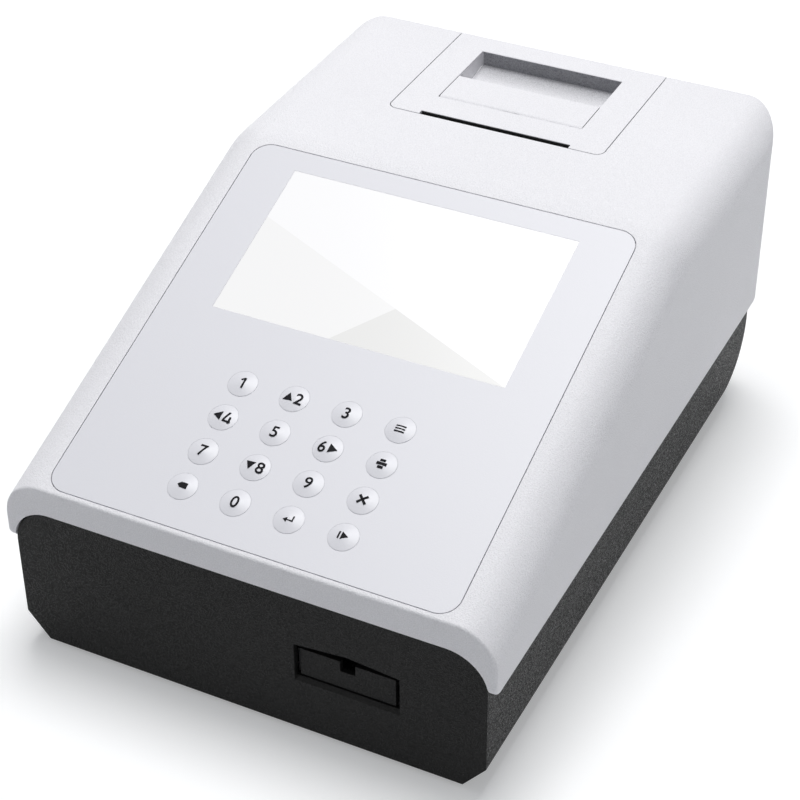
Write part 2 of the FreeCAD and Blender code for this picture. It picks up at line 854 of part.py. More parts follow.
def base_shell():
    outside = base_form("base_outside", NOTHING, base_top)
    inside = base_form("base_inside", dim.base_wall, base_top + dim.overrun)
    tub = cut("base_tub", outside, [inside])
    half = dim.base_width / 2
    arch = new_body("front_panel")
    panel_back = base_front + dim.base_wall
    path = arch_path(half, base_top - dim.lip_height, dim.arch_height - dim.seam_gap, dim.arch_round)
    prism(arch, "XZ_Plane", path, base_front, panel_back)
    lips = []
    lip_start = front + dim.cover_wall + dim.seam_gap
    lip_end = base_rear - dim.side_round - dim.lip_height
    for label, x in (
        ("lip_left", (-half, -half + dim.lip_thickness)),
        ("lip_right", (half - dim.lip_thickness, half)),
    ):
        lips.append(
            box(label, x, (lip_start, lip_end), (base_top - dim.lip_height, base_top + dim.lip_height))
        )
    reach = dim.rear_panel_width / 2
    tongue = new_body("rear_panel")
    path = arch_path(reach, base_top - dim.lip_height, rear_panel_top, dim.lip_height)
    prism(tongue, "XZ_Plane", path, base_rear - dim.base_wall, base_rear)
    posts = []
    tools = []
    for x, y in boss_places:
        posts.append(
            rod(
                "base_post",
                "z",
                (x, y, dim.foot_height),
                base_top - dim.foot_height,
                dim.boss_radius + dim.seam_gap * 2,
            )
        )
        head_seat = base_top - dim.screw_head_height - dim.base_wall
        shank_hole = dim.screw_radius + dim.running_gap * 2
        tools.append(
            rod("shank_hole", "z", (x, y, head_seat), base_top - head_seat + dim.overrun, shank_hole)
        )
        driver_hole = dim.screw_head_radius + dim.running_gap * 4
        tools.append(
            rod(
                "driver_hole",
                "z",
                (x, y, dim.foot_height - dim.overrun),
                head_seat - dim.foot_height + dim.overrun,
                driver_hole,
            )
        )
    for x in (
        -dim.main_board_left + dim.boss_radius,
        -dim.main_board_left + dim.main_board_width - dim.boss_radius,
    ):
        for y in (
            -dim.main_board_front + dim.boss_radius,
            -dim.main_board_front + dim.main_board_depth - dim.boss_radius,
        ):
            posts.append(
                rod(
                    "board_post",
                    "z",
                    (x, y, dim.foot_height),
                    dim.base_wall + dim.board_post_height,
                    dim.keypad_post_radius,
                )
            )
    body = fuse("base_body", [tub, arch, tongue] + lips + posts)
    port = new_body("tray_port")
    x = (port_left, port_right)
    start = base_front - dim.overrun
    path = [
        (port_left, port_low),
        (port_right, port_low),
        (port_right, port_high),
        (dim.port_centre, port_high + dim.port_peak),
        (port_left, port_high),
    ]
    prism(port, "XZ_Plane", path, start, panel_back + dim.overrun)
    sill = new_body("port_sill")
    path = [
        (start, port_low - dim.port_sill - dim.overrun),
        (base_front + dim.port_sill + dim.overrun, port_low + dim.overrun),
        (start, port_low + dim.overrun),
    ]
    prism(sill, "YZ_Plane", path, x[0], x[1])
    tools += [port, sill] + rear_openings()
    node("base_shell", cut("base_shell", body, tools))


def rear_openings():
    """Openings in the rear panel for the adapter inlet, the data sockets and the switch."""
    across = (base_rear - dim.base_wall - dim.overrun, base_rear + dim.overrun)
    level = port_row
    tools = [
        rod(
            "inlet_hole",
            "y",
            (dim.inlet_place, across[0], level),
            across[1] - across[0],
            dim.inlet_radius + dim.seam_gap / 2,
        )
    ]
    for centre in usb_centres:
        half = dim.usb_width / 2 + dim.seam_gap / 2
        tall = dim.usb_height / 2 + dim.seam_gap / 2
        tools.append(box("usb_hole", around(centre, half), across, around(level, tall)))
    half = dim.serial_shell_width / 2 + dim.seam_gap / 2
    tall = dim.serial_shell_height / 2 + dim.seam_gap / 2
    tools.append(box("serial_hole", around(-dim.serial_place, half), across, around(level, tall)))
    half = dim.switch_width / 2 - dim.switch_rim
    tall = dim.switch_height / 2 - dim.switch_rim
    tools.append(box("switch_hole", around(dim.switch_place, half), across, around(level, tall)))
    return tools


usb_centres = [dim.usb_place, dim.usb_place - dim.usb_pitch]


# Control panel

def control_panel():
    overlay = new_body("panel_overlay")
    along = (dim.overlay_start, dim.overlay_start + dim.overlay_length)
    half = dim.overlay_width / 2
    path = rounded((-half, half), along, dim.overlay_corner)
    prism(overlay, "XY_Plane", path, -dim.overlay_thickness, NOTHING)
    half = dim.screen_width / 2
    screen = (screen_start, screen_start + dim.screen_length)
    below = -dim.overlay_thickness - dim.overrun
    pocket(overlay, "XY_Plane", rectangle((-half, half), screen), below, NOTHING)
    sketch = new_sketch(overlay, "XY_Plane", NOTHING)
    for x, y in key_places:
        ring(sketch, x, y, dim.key_radius + dim.key_gap)
    holes = overlay.newObject("PartDesign::Pocket", "key_windows")
    holes.Profile = sketch
    bind(holes, "Length", dim.overlay_thickness + dim.overrun)
    node("panel_overlay", on_panel(overlay))

    gap = dim.pane_gap
    x = (-half + gap, half - gap)
    pane = box(
        "display_window",
        x,
        (screen[0] + gap, screen[1] - gap),
        (-dim.overlay_thickness, NOTHING),
    )
    on_panel(pane, x[0], screen[0] + gap, -dim.overlay_thickness)
    node("display_window", pane)

    rim = dim.display_rim
    display = new_body("lcd_module")
    low = -dim.cover_wall - dim.display_thickness
    x = (-half - rim, half + rim)
    y = (screen[0] - rim, screen[1] + rim)
    prism(display, "XY_Plane", rectangle(x, y), low, -dim.cover_wall)
    back_x = (-half + rim, half - rim)
    back_y = (screen[0] + rim, screen[1] - rim)
    pocket(
        display,
        "XY_Plane",
        rectangle(back_x, back_y),
        low - dim.overrun,
        low + dim.overlay_thickness,
    )
    node("lcd_module", on_panel(display))


def keypad():
    board = box(
        "keypad_board",
        (-keypad_half, keypad_half),
        (keypad_low, keypad_high),
        (NOTHING, dim.board_thickness),
    )
    on_panel(board, -keypad_half, keypad_low, keypad_board_top - dim.board_thickness)
    node("keypad_board", board)
    switches = []
    half = dim.tact_width / 2
    for x, y in key_places:
        case = box("tact_case", around(x, half), around(y, half), (NOTHING, dim.tact_height))
        on_panel(case, x - half, y - half, keypad_board_top)
        tall = dim.tact_plunger_height + dim.tact_height / 2
        plunger = rod("tact_plunger", "z", (NOTHING, NOTHING, NOTHING), tall, dim.tact_plunger_radius)
        on_panel(plunger, x, y, plunger_top - tall)
        switches.append(fuse("tact_switch", [case, plunger]))
    group = doc.addObject("Part::Compound", "tact_switches")
    group.Links = switches
    node("tact_switches", group)
    for name, (x, y) in zip(key_names, key_places):
        node(name, on_panel(key_cap(name), x, y))


def key_cap(name):
    """One key: a domed cap, a stem through the cover, a stop under it and a nub for its switch."""
    body = new_body(name)
    radius = dim.key_radius
    flat = radius / 8
    run = radius - flat
    rise = dim.key_crown - dim.key_edge
    dome = (run * run + rise * rise) / (rise * 2)
    path = [
        (dim.key_nub_radius, nub_bottom),
        (dim.key_nub_radius, stop_bottom),
        (dim.key_stop_radius, stop_bottom),
        (dim.key_stop_radius, stop_top),
        (dim.key_stem_radius, stop_top),
        (dim.key_stem_radius, -dim.key_skirt),
        (radius, -dim.key_skirt),
        (radius, dim.key_edge),
        (flat, dim.key_crown, dome),
        (NOTHING, dim.key_crown),
        (NOTHING, nub_bottom),
    ]
    turned(body, path)
    return body


# Strip tray and its drive

def strip_tray():
    """The carrier: an H section on two rails behind a front plate with a notch for the strip."""
    body = new_body("strip_tray")
    rail = dim.tray_rail
    rail_top = tray_low + dim.tray_rail_height
    section = [
        (tray_left, tray_low),
        (tray_left + rail, tray_low),
        (tray_left + rail, tray_floor_low),
        (tray_right - rail, tray_floor_low),
        (tray_right - rail, tray_low),
        (tray_right, tray_low),
        (tray_right, rail_top),
        (tray_right - rail, rail_top),
        (tray_right - rail, tray_floor_high),
        (tray_left + rail, tray_floor_high),
        (tray_left + rail, rail_top),
        (tray_left, rail_top),
    ]
    prism(body, "XZ_Plane", section, tray_front + dim.tray_front / 2, tray_rear)
    x = (tray_left, tray_right)
    prism(
        body,
        "XZ_Plane",
        rectangle(x, (tray_low, tray_high)),
        tray_front,
        tray_front + dim.tray_front,
    )
    notch = rectangle(
        around(dim.port_centre, dim.notch_width / 2),
        (tray_high - dim.notch_depth, tray_high + dim.overrun),
    )
    pocket(body, "XZ_Plane", notch, tray_front - dim.overrun, tray_front + dim.tray_front + dim.overrun)
    prism(body, "XZ_Plane", rectangle(x, (tray_low, rail_top)), tray_rear - dim.tray_front, tray_rear)
    node("strip_tray", body)

    insert = new_body("tray_insert")
    start = tray_front + dim.insert_start
    end = tray_rear - dim.tray_front
    top = tray_floor_high + dim.insert_thickness
    half = dim.insert_width / 2
    prism(
        insert,
        "XZ_Plane",
        rectangle(around(dim.port_centre, half), (tray_floor_high, top)),
        start,
        end,
    )
    channel = rectangle(
        around(dim.port_centre, dim.notch_width / 2),
        (top - dim.strip_channel_depth, top + dim.overrun),
    )
    pocket(insert, "XZ_Plane", channel, start - dim.overrun, end - dim.insert_thickness)
    node("tray_insert", insert)
    tray_rack()


def tray_rack():
    """A straight rack under the tray, its teeth downwards, in mesh with the pinion."""
    body = new_body("tray_rack")
    module = dim.gear_module
    half = dim.rack_width / 2
    x = around(dim.port_centre, half)
    root_z = pitch_height + module * root_share
    start = pinion_y - dim.rack_margin
    end = tray_rear - dim.tray_front
    prism(body, "YZ_Plane", rectangle((start, end), (root_z, tray_floor_low)), x[0], x[1])
    slope = math.tan(math.radians(dim.gear_pressure_angle.value))
    tooth_share = math.pi / 4
    tip_half = module * (tooth_share - tip_share * slope) - dim.mesh_play / 2
    root_half = module * (tooth_share + root_share * slope) - dim.mesh_play / 2
    lead_share = math.pi * 3 / 2
    first = pinion_y - module * lead_share
    tooth = [
        (first - tip_half, pitch_height - module * tip_share),
        (first + tip_half, pitch_height - module * tip_share),
        (first + root_half, root_z),
        (first - root_half, root_z),
    ]
    pad = prism(body, "YZ_Plane", tooth, x[0], x[1])
    pattern = body.newObject("PartDesign::LinearPattern", "rack_teeth")
    pattern.Originals = [pad]
    pattern.Direction = (pad.Profile[0], ["H_Axis"])
    run = end - first - root_half
    count = Measure(
        math.floor(run.value / (math.pi * module.value)),
        f"floor({run.text} / ({math.pi} * {module.text}))",
    )
    bind(pattern, "Length", count * module * math.pi)
    bind(pattern, "Occurrences", count + 1)
    body.Tip = pattern
    node("tray_rack", body)


def involute_half_angle(teeth, radius, play):
    """Half the angle of a tooth at a radius, all in modules."""
    pressure = math.radians(dim.gear_pressure_angle.value)
    base = teeth / 2 * math.cos(pressure)
    lean = math.acos(min(1, base / radius)) if radius > base else 0
    return math.pi / (2 * teeth) - play + (math.tan(pressure) - pressure) - (math.tan(lean) - lean)


def gear(label, teeth, module, low, high, phase, place):
    """A spur gear about an X axis: a root disc and one tooth, repeated round it.
    The phase turns its first tooth from the +Y direction."""
    count = int(teeth.value)
    body = new_body(label)
    pitch_share = count / 2
    disc(
        body,
        "YZ_Plane",
        NOTHING,
        NOTHING,
        module * (pitch_share - root_share + root_lap_share),
        low,
        high,
    )
    right = []
    for height_share in flank_shares:
        radius_share = pitch_share + height_share
        half = involute_half_angle(
            count,
            radius_share,
            dim.mesh_play.value / (4 * module.value * count),
        )
        right.append((radius_share * math.cos(half), radius_share * math.sin(half)))
    shares = [(along, -off) for along, off in right] + [(along, off) for along, off in reversed(right)]
    tooth = prism(
        body,
        "YZ_Plane",
        [(module * along, module * off) for along, off in shares],
        low,
        high,
    )
    pattern = body.newObject("PartDesign::PolarPattern", label + "_teeth")
    pattern.Originals = [tooth]
    pattern.Axis = (tooth.Profile[0], ["N_Axis"])
    pattern.Angle = 360
    bind(pattern, "Occurrences", teeth)
    body.Tip = pattern
    body.Placement = FreeCAD.Placement(ORIGIN, FreeCAD.Rotation(ALONG_X, phase))
    return seat(body, *place)


def tray_drive():
    half = dim.gear_width / 2
    turn = 90
    wheel = gear(
        "pinion_wheel",
        dim.pinion_teeth,
        dim.gear_module,
        -half,
        half,
        turn,
        (dim.port_centre, pinion_y, pinion_z),
    )
    shaft_start = dim.tray_motor_right + dim.guide_gap
    shaft_end = dim.port_centre + dim.gear_width / 2 + dim.bracket_thickness * 2
    shaft = rod(
        "pinion_shaft",
        "x",
        (shaft_start, pinion_y, pinion_z),
        shaft_end - shaft_start,
        dim.pinion_bore,
    )
    node("tray_pinion", fuse("tray_pinion", [wheel, shaft]))

    motor_left = dim.tray_motor_right - dim.tray_motor_length
    motor = rod(
        "motor_can",
        "x",
        (motor_left, pinion_y, pinion_z),
        dim.tray_motor_length,
        dim.tray_motor_radius,
    )
    hub = rod(
        "motor_hub",
        "x",
        (motor_left - dim.bracket_thickness, pinion_y, pinion_z),
        dim.bracket_thickness * 2,
        dim.tray_motor_hub_radius,
    )
    node("tray_motor", fuse("tray_motor", [motor, hub]))

    plate = (
        dim.tray_motor_right + dim.guide_gap,
        dim.tray_motor_right + dim.guide_gap + dim.bracket_thickness,
    )
    reach = dim.bracket_half
    upright = box(
        "bracket_upright",
        plate,
        around(pinion_y, reach),
        (base_floor, pinion_z + dim.tray_motor_radius),
    )
    sole = box(
        "bracket_sole",
        (plate[0] - reach, plate[1]),
        around(pinion_y, reach),
        (base_floor, base_floor + dim.bracket_thickness),
    )
    cradle_top = pinion_z - dim.tray_motor_radius
    cradle = box(
        "bracket_cradle",
        (plate[0] - reach, plate[0]),
        around(pinion_y, dim.bracket_thickness),
        (base_floor, cradle_top),
    )
    bearing = dim.pinion_bore + dim.running_gap
    hole = drill("bracket_hole", "x", (plate[0], pinion_y, pinion_z), dim.bracket_thickness, bearing)
    node("motor_bracket", cut("motor_bracket", fuse("bracket_form", [upright, sole, cradle]), [hole]))


def tray_guide():
    """A channel on legs that carries the tray, holds it down and has the pinion's outer bearing."""
    gap = dim.guide_gap
    wall = dim.guide_wall
    left = tray_left - gap
    right = tray_right + gap
    floor_top = tray_low - gap
    floor_low = floor_top - wall
    lip_low = tray_low + dim.tray_rail_height + gap
    hook = dim.tray_rail
    section = [
        (left - wall, floor_low),
        (right + wall, floor_low),
        (right + wall, guide_top),
        (right - hook, guide_top),
        (right - hook, lip_low),
        (right, lip_low),
        (right, floor_top),
        (left, floor_top),
        (left, lip_low),
        (left + hook, lip_low),
        (left + hook, guide_top),
        (left - wall, guide_top),
    ]
    body = new_body("tray_guide_channel")
    start = tray_front + dim.tray_front + gap
    prism(body, "XZ_Plane", section, start, tray_rear + dim.rack_margin)
    slot_half = dim.gear_width / 2 + wall
    reach = pitch_radius + dim.gear_module * 2
    pocket(
        body,
        "XY_Plane",
        rectangle(around(dim.port_centre, slot_half), around(pinion_y, reach)),
        floor_low - dim.overrun,
        floor_top + dim.overrun,
    )
    legs = []
    size = dim.guide_leg
    for x in ((left - wall, left - wall + size), (right + wall - size, right + wall)):
        for y in (start + size, tray_rear - size):
            legs.append(box("guide_leg", x, (y, y + size), (base_floor, floor_low)))
    ear_x = (
        dim.port_centre + dim.gear_width / 2 + wall,
        dim.port_centre + dim.gear_width / 2 + wall + dim.bracket_thickness,
    )
    ear = box("guide_ear", ear_x, around(pinion_y, size), (pinion_z - size, floor_low))
    bearing = dim.pinion_bore + dim.running_gap
    hole = drill("guide_ear_hole", "x", (ear_x[0], pinion_y, pinion_z), dim.bracket_thickness, bearing)
    node("tray_guide", cut("tray_guide", fuse("guide_form", [body, ear] + legs), [hole]))


def optical_head():
    """The reading head: a hood over the tray on two side feet, with its sensor board on top."""
    start = front + dim.head_front
    body = new_body("optical_head")
    half = dim.head_width / 2
    low = guide_top
    high = low + dim.head_height
    foot = dim.guide_wall
    clear = tray_high + dim.guide_gap * 2
    section = [
        (dim.port_centre - half, low),
        (dim.port_centre - half + foot, low),
        (dim.port_centre - half + foot, clear),
        (dim.port_centre + half - foot, clear),
        (dim.port_centre + half - foot, low),
        (dim.port_centre + half, low),
        (dim.port_centre + half, high),
        (dim.port_centre - half, high),
    ]
    prism(body, "XZ_Plane", section, start, start + dim.head_depth)
    window = around(dim.port_centre, dim.head_window / 2)
    middle = start + dim.head_depth / 2
    pocket(
        body,
        "XY_Plane",
        rectangle(window, around(middle, dim.head_window)),
        clear - dim.overrun,
        high - dim.head_window,
    )
    node("optical_head", body)
    inset = dim.guide_wall
    board = box(
        "sensor_board",
        (dim.port_centre - half + inset, dim.port_centre + half - inset),
        (start + inset, start + dim.head_depth - inset),
        (high, high + dim.board_thickness),
    )
    node("sensor_board", board)


# Printer

def printer_shelf():
    """The shelf under the cover's four posts, with the paper trough and the lid's hinge ears."""
    outer = dim.roll_radius + dim.trough_gap + dim.trough_wall
    inner = dim.roll_radius + dim.trough_gap
    half_inner = dim.roll_width / 2 + dim.trough_side_gap
    half_outer = half_inner + dim.trough_wall
    across = dim.shelf_width / 2
    plate = box(
        "shelf_plate",
        (-across, across),
        (shelf_front, shelf_rear),
        (shelf_low, shelf_top),
    )
    drum = rod("trough_drum", "x", (-half_outer, roll_y, roll_z), half_outer * 2, outer)
    walls = box(
        "trough_walls",
        (-half_outer, half_outer),
        around(roll_y, outer),
        (roll_z, shelf_top),
    )
    below = box(
        "trough_part",
        (-half_outer, half_outer),
        around(roll_y, outer),
        (roll_z - outer, shelf_top),
    )
    trough = common("trough_form", [fuse("trough_blank", [drum, walls]), below])
    ears = []
    radius = dim.hinge_ear_radius
    tail = hinge_y + radius / 4
    for side in (-1, 1):
        near = lid_half + dim.lid_gap + dim.guide_gap
        x = (near, near + dim.hinge_ear_thickness) if side > 0 else (
            -near - dim.hinge_ear_thickness,
            -near,
        )
        ears.append(box("hinge_strap", x, (hinge_y - radius, tail), (shelf_low, hinge_z)))
        ears.append(
            rod("hinge_eye", "x", (x[0], hinge_y, hinge_z), dim.hinge_ear_thickness, radius)
        )
    stretch = box(
        "shelf_tail",
        (-across, across),
        (shelf_rear - radius, tail),
        (shelf_low, shelf_top),
    )
    body = fuse("shelf_body", [plate, stretch, trough] + ears)
    roll_room = rod("roll_room", "x", (-half_inner, roll_y, roll_z), half_inner * 2, inner)
    upper_room = box(
        "roll_room_top",
        (-half_inner, half_inner),
        around(roll_y, inner),
        (roll_z, shelf_top + dim.overrun),
    )
    pin_hole = rod(
        "hinge_hole",
        "x",
        (-across, hinge_y, hinge_z),
        dim.shelf_width,
        dim.hinge_pin_radius + dim.running_gap,
    )
    gear_reach = drive_pitch + dim.printer_module * 2
    gear_slot = box(
        "gear_slot",
        (plate_outside, gear_outside + dim.frame_gap),
        around(platen_y, gear_reach),
        (shelf_low - dim.overrun, shelf_top + dim.overrun),
    )
    holes = [
        drill("shelf_screw_hole", "z", (x, y, shelf_low), dim.shelf_thickness, dim.screw_radius)
        for x, y in shelf_places
    ]
    node(
        "paper_trough",
        cut("paper_trough", body, [roll_room, upper_room, pin_hole, gear_slot] + holes),
    )
    reach = lid_half + dim.lid_gap + dim.guide_gap + dim.hinge_ear_thickness + dim.running_gap * 4
    node(
        "lid_hinge_pin",
        rod("lid_hinge_pin", "x", (-reach, hinge_y, hinge_z), reach * 2, dim.hinge_pin_radius),
    )

    roll = new_body("paper_roll")
    half = dim.roll_width / 2
    disc(roll, "YZ_Plane", NOTHING, NOTHING, dim.roll_radius, -half, half)
    bore(
        roll,
        "YZ_Plane",
        NOTHING,
        NOTHING,
        dim.roll_core_radius,
        -half - dim.overrun,
        half + dim.overrun,
    )
    node("paper_roll", seat(roll, NOTHING, roll_y, roll_z))


def frame_side(label, low, high):
    """One side plate of the printer frame, with the notch that the platen's bush snaps into."""
    body = new_body(label)
    bush = dim.bush_radius + dim.running_gap
    top = platen_z + dim.notch_rise
    flare = bush + dim.notch_flare
    back = platen_y + flare + dim.frame_plate
    outline = [
        (back, shelf_top),
        (back, top),
        (platen_y + flare, top),
        (platen_y + bush, platen_z),
        (platen_y, platen_z - bush, -bush),
        (platen_y - bush, platen_z, -bush),
        (platen_y - flare, top),
        (frame_front, top),
        (frame_front, shelf_top),
    ]
    prism(body, "YZ_Plane", outline, low, high)
    return body


def printer_frame():
    sides = [
        frame_side("frame_left", -plate_outside, -plate_inside),
        frame_side("frame_right", plate_inside, plate_outside),
    ]
    top = platen_z + dim.notch_rise
    back = frame_front + dim.frame_plate
    wall = box(
        "frame_wall",
        (-plate_inside, plate_inside),
        (frame_front, back),
        (shelf_top, top),
    )
    tabs = []
    for x in ((-plate_inside, -plate_inside / 2), (plate_inside / 2, plate_inside)):
        tabs.append(
            box(
                "frame_tab",
                x,
                (shelf_front, frame_front),
                (shelf_top, shelf_top + dim.frame_plate),
            )
        )
    hole = dim.platen_shaft_radius + dim.running_gap
    holes = [
        drill("drive_hole", "x", (plate_inside, platen_y, drive_z), dim.frame_plate, hole),
        drill("motor_hole", "x", (plate_inside, motor_y, drive_z), dim.frame_plate, hole),
    ]
    node("printer_frame", cut("printer_frame", fuse("frame_body", sides + [wall] + tabs), holes))

    face = platen_y - dim.platen_radius - dim.paper_gap
    half = plate_inside - dim.guide_gap
    middle = platen_z
    head = new_body("thermal_head")
    low = middle - dim.print_head_height / 2
    high = middle + dim.print_head_height / 2
    step = dim.print_head_thickness / 4
    profile = [
        (face, middle - step * 2),
        (face, middle + step * 2),
        (face - step, high),
        (face - dim.print_head_thickness, high),
        (face - dim.print_head_thickness, low),
        (face - step, low),
    ]
    prism(head, "YZ_Plane", profile, -half, half)
    node("thermal_head", head)

    leaf = new_body("leaf_profile")
    thin = dim.leaf_thickness
    rest = face - dim.print_head_thickness
    profile = [
        (back, low),
        (back + thin, low),
        (rest, middle - thin),
        (rest, middle),
        (back + thin, high),
        (back, high),
        (back, high - thin),
        (rest - thin * 3, middle - thin / 2),
        (back, low + thin * 2),
    ]
    prism(leaf, "YZ_Plane", profile, plate_inside / 4, plate_inside / 2)
    other = new_body("leaf_profile_left")
    prism(other, "YZ_Plane", profile, -plate_inside / 2, -plate_inside / 4)
    pair = doc.addObject("Part::Compound", "head_springs")
    pair.Links = [leaf, other]
    node("head_springs", pair)

    start = plate_inside - dim.printer_motor_length
    can = rod(
        "printer_motor_can",
        "x",
        (start, motor_y, drive_z),
        dim.printer_motor_length,
        dim.printer_motor_radius,
    )
    node("printer_motor", can)


def printer_gears():
    hub = dim.platen_shaft_radius
    shaft_start = -plate_outside - dim.frame_gap
    shaft = rod(
        "platen_shaft",
        "x",
        (shaft_start, platen_y, platen_z),
        gear_outside - shaft_start,
        hub,
    )
    node("platen_shaft", shaft)
    roller = new_body("platen_roller")
    half = dim.platen_length / 2
    disc(roller, "YZ_Plane", NOTHING, NOTHING, dim.platen_radius, -half, half)
    bore(roller, "YZ_Plane", NOTHING, NOTHING, hub, -half - dim.overrun, half + dim.overrun)
    node("platen_roller", seat(roller, NOTHING, platen_y, platen_z))
    bushes = []
    for x in (-plate_outside, plate_inside - (dim.bush_thickness - dim.frame_plate)):
        ring_out = rod(
            "bush_ring",
            "x",
            (x, platen_y, platen_z),
            dim.bush_thickness,
            dim.bush_radius,
        )
        ring_in = drill(
            "bush_bore",
            "x",
            (x, platen_y, platen_z),
            dim.bush_thickness,
            hub + dim.running_gap,
        )
        bushes.append(cut("platen_bush", ring_out, [ring_in]))
    pair = doc.addObject("Part::Compound", "platen_bushes")
    pair.Links = bushes
    node("platen_bushes", pair)

    module = dim.printer_module
    drive_count = dim.drive_teeth.value
    motor_count = dim.motor_teeth.value
    drive_phase = 90 + 180 / drive_count
    offset = (180 - drive_phase) % (360 / drive_count)
    motor_phase = offset * drive_count / motor_count + 180 / motor_count
    wheel = gear(
        "platen_wheel",
        dim.platen_teeth,
        module,
        gear_inside,
        gear_outside,
        -90,
        (NOTHING, platen_y, platen_z),
    )
    centre = drill(
        "platen_wheel_bore",
        "x",
        (gear_inside, platen_y, platen_z),
        dim.printer_gear_width,
        hub,
    )
    node("platen_gear", cut("platen_gear", wheel, [centre]))
    stub_start = plate_inside + dim.running_gap
    wheel = gear(
        "drive_wheel",
        dim.drive_teeth,
        module,
        gear_inside,
        gear_outside,
        drive_phase,
        (NOTHING, platen_y, drive_z),
    )
    stub = rod("drive_stub", "x", (stub_start, platen_y, drive_z), gear_outside - stub_start, hub)
    node("drive_gear", fuse("drive_gear", [wheel, stub]))
    wheel = gear(
        "motor_wheel",
        dim.motor_teeth,
        module,
        gear_inside,
        gear_outside,
        motor_phase,
        (NOTHING, motor_y, drive_z),
    )
    stub = rod("motor_stub", "x", (stub_start, motor_y, drive_z), gear_outside - stub_start, hub)
    node("motor_gear", fuse("motor_gear", [wheel, stub]))


flap_y = recess_y + dim.flap_gap + dim.flap_thickness
flap_z = dim.case_height - dim.flap_thickness
recess_half = dim.recess_width / 2


def lid_recess(label, grow, low_extra):
    """The finger recess behind the flap, or the tub around it when grown by the wall."""
    body = new_body(label)
    top = dim.case_height + low_extra
    deep = dim.case_height - dim.recess_deep - grow
    start = recess_y - grow
    end = recess_y + dim.recess_length + grow
    turn_y = recess_y + dim.flap_length + dim.flap_gap
    profile = [
        (start, deep),
        (turn_y, deep),
        (end, dim.case_height - dim.recess_rear_depth - grow),
        (end, top),
        (start, top),
    ]
    prism(body, "YZ_Plane", profile, -recess_half - grow, recess_half + grow)
    return body


def printer_lid(outside):
    """The lid shares the case's outer form. It carries the recess, the platen arms and the ears."""
    inside = case_form("lid_inside", dim.lid_plate, dim.flank_height - dim.overrun)
    shell = cut("lid_shell", outside, [inside])
    region = new_body("lid_region")
    corner = dim.lid_corner
    path = [
        (lid_half - corner, lid_y),
        (lid_half, lid_y + corner, corner),
        (lid_half, rear + dim.overrun),
        (-lid_half, rear + dim.overrun),
        (-lid_half, lid_y + corner),
        (-lid_half + corner, lid_y, corner),
    ]
    prism(region, "XY_Plane", path, lid_skirt_low, dim.case_height + dim.overrun)
    plate = common("lid_plate", [shell, region])
    tub = lid_recess("recess_tub", dim.recess_wall, -dim.lid_plate / 2)
    arms = []
    under = dim.case_height - dim.lid_plate / 2
    for x in ((-arm_outside, -arm_inside), (arm_inside, arm_outside)):
        reach = dim.platen_arm_radius
        arms.append(box("platen_strap", x, around(platen_y, reach), (platen_z, under)))
        arms.append(
            rod("platen_eye", "x", (x[0], platen_y, platen_z), dim.platen_arm_thickness, reach)
        )
    near = lid_half - dim.guide_gap
    for x in ((-near, -near + dim.hinge_ear_thickness), (near - dim.hinge_ear_thickness, near)):
        reach = dim.hinge_ear_radius
        arms.append(box("lid_strap", x, around(hinge_y, reach), (hinge_z, under)))
        arms.append(
            rod("lid_eye", "x", (x[0], hinge_y, hinge_z), dim.hinge_ear_thickness, reach)
        )
    body = fuse("lid_body", [plate, tub] + arms)
    half = dim.slot_width / 2
    tools = [
        lid_recess("recess_room", NOTHING, dim.overrun),
        box(
            "slot_notch",
            (-half, half),
            (lid_y - dim.overrun, lid_y + dim.slot_depth),
            (under - dim.lid_plate, dim.case_height + dim.overrun),
        ),
        rod(
            "lid_pin_hole",
            "x",
            (-lid_half, hinge_y, hinge_z),
            dim.lid_width,
            dim.hinge_pin_radius + dim.running_gap,
        ),
        rod(
            "platen_arm_hole",
            "x",
            (-arm_outside, platen_y, platen_z),
            arm_outside * 2,
            dim.platen_shaft_radius + dim.running_gap,
        ),
        rod(
            "flap_pin_hole",
            "x",
            (-recess_half - dim.recess_wall / 2, flap_y, flap_z),
            dim.recess_width + dim.recess_wall,
            dim.flap_pin_radius + dim.running_gap,
        ),
    ]
    node("printer_lid", cut("printer_lid", body, tools))


def latch_flap():
    """The lift flap: a plate on a knuckle round its pin, with a torsion spring in the middle."""
    body = new_body("latch_flap")
    half = recess_half - dim.flap_gap
    thick = dim.flap_thickness
    reach = dim.flap_length - thick
    hole = dim.flap_pin_radius + dim.running_gap
    tip = thick / 3
    profile = [
        (reach, thick - tip * 2),
        (reach, thick - tip),
        (reach - tip, thick, tip),
        (NOTHING, thick),
        (-thick, NOTHING, thick),
        (NOTHING, -thick, thick),
        (thick, -thick / 2),
        (thick * 2, NOTHING),
    ]
    prism(body, "YZ_Plane", profile, -half, half)
    bore(body, "YZ_Plane", NOTHING, NOTHING, hole, -half - dim.overrun, half + dim.overrun)
    spring = dim.flap_spring_width / 2 + dim.flap_gap
    room = rectangle(
        (-thick - dim.overrun, reach / 2 + thick / 2),
        (-thick - dim.overrun, hole + dim.flap_spring_wire),
    )
    pocket(body, "YZ_Plane", room, -spring, spring)
    node("latch_flap", seat(body, NOTHING, flap_y, flap_z))
    pin_half = recess_half + dim.recess_wall / 2
    node(
        "latch_pin",
        rod("latch_pin", "x", (-pin_half, flap_y, flap_z), pin_half * 2, dim.flap_pin_radius),
    )
    coil = new_body("latch_spring")
    wire = dim.flap_spring_wire
    inner = dim.flap_pin_radius + dim.running_gap
    half = dim.flap_spring_width / 2
    disc(coil, "YZ_Plane", NOTHING, NOTHING, inner + wire, -half, half)
    leg = rectangle((NOTHING, reach / 2), (inner, inner + wire))
    prism(coil, "YZ_Plane", leg, half - wire, half)
    bore(coil, "YZ_Plane", NOTHING, NOTHING, inner, -half - dim.overrun, half + dim.overrun)
    node("latch_spring", seat(coil, NOTHING, flap_y, flap_z))


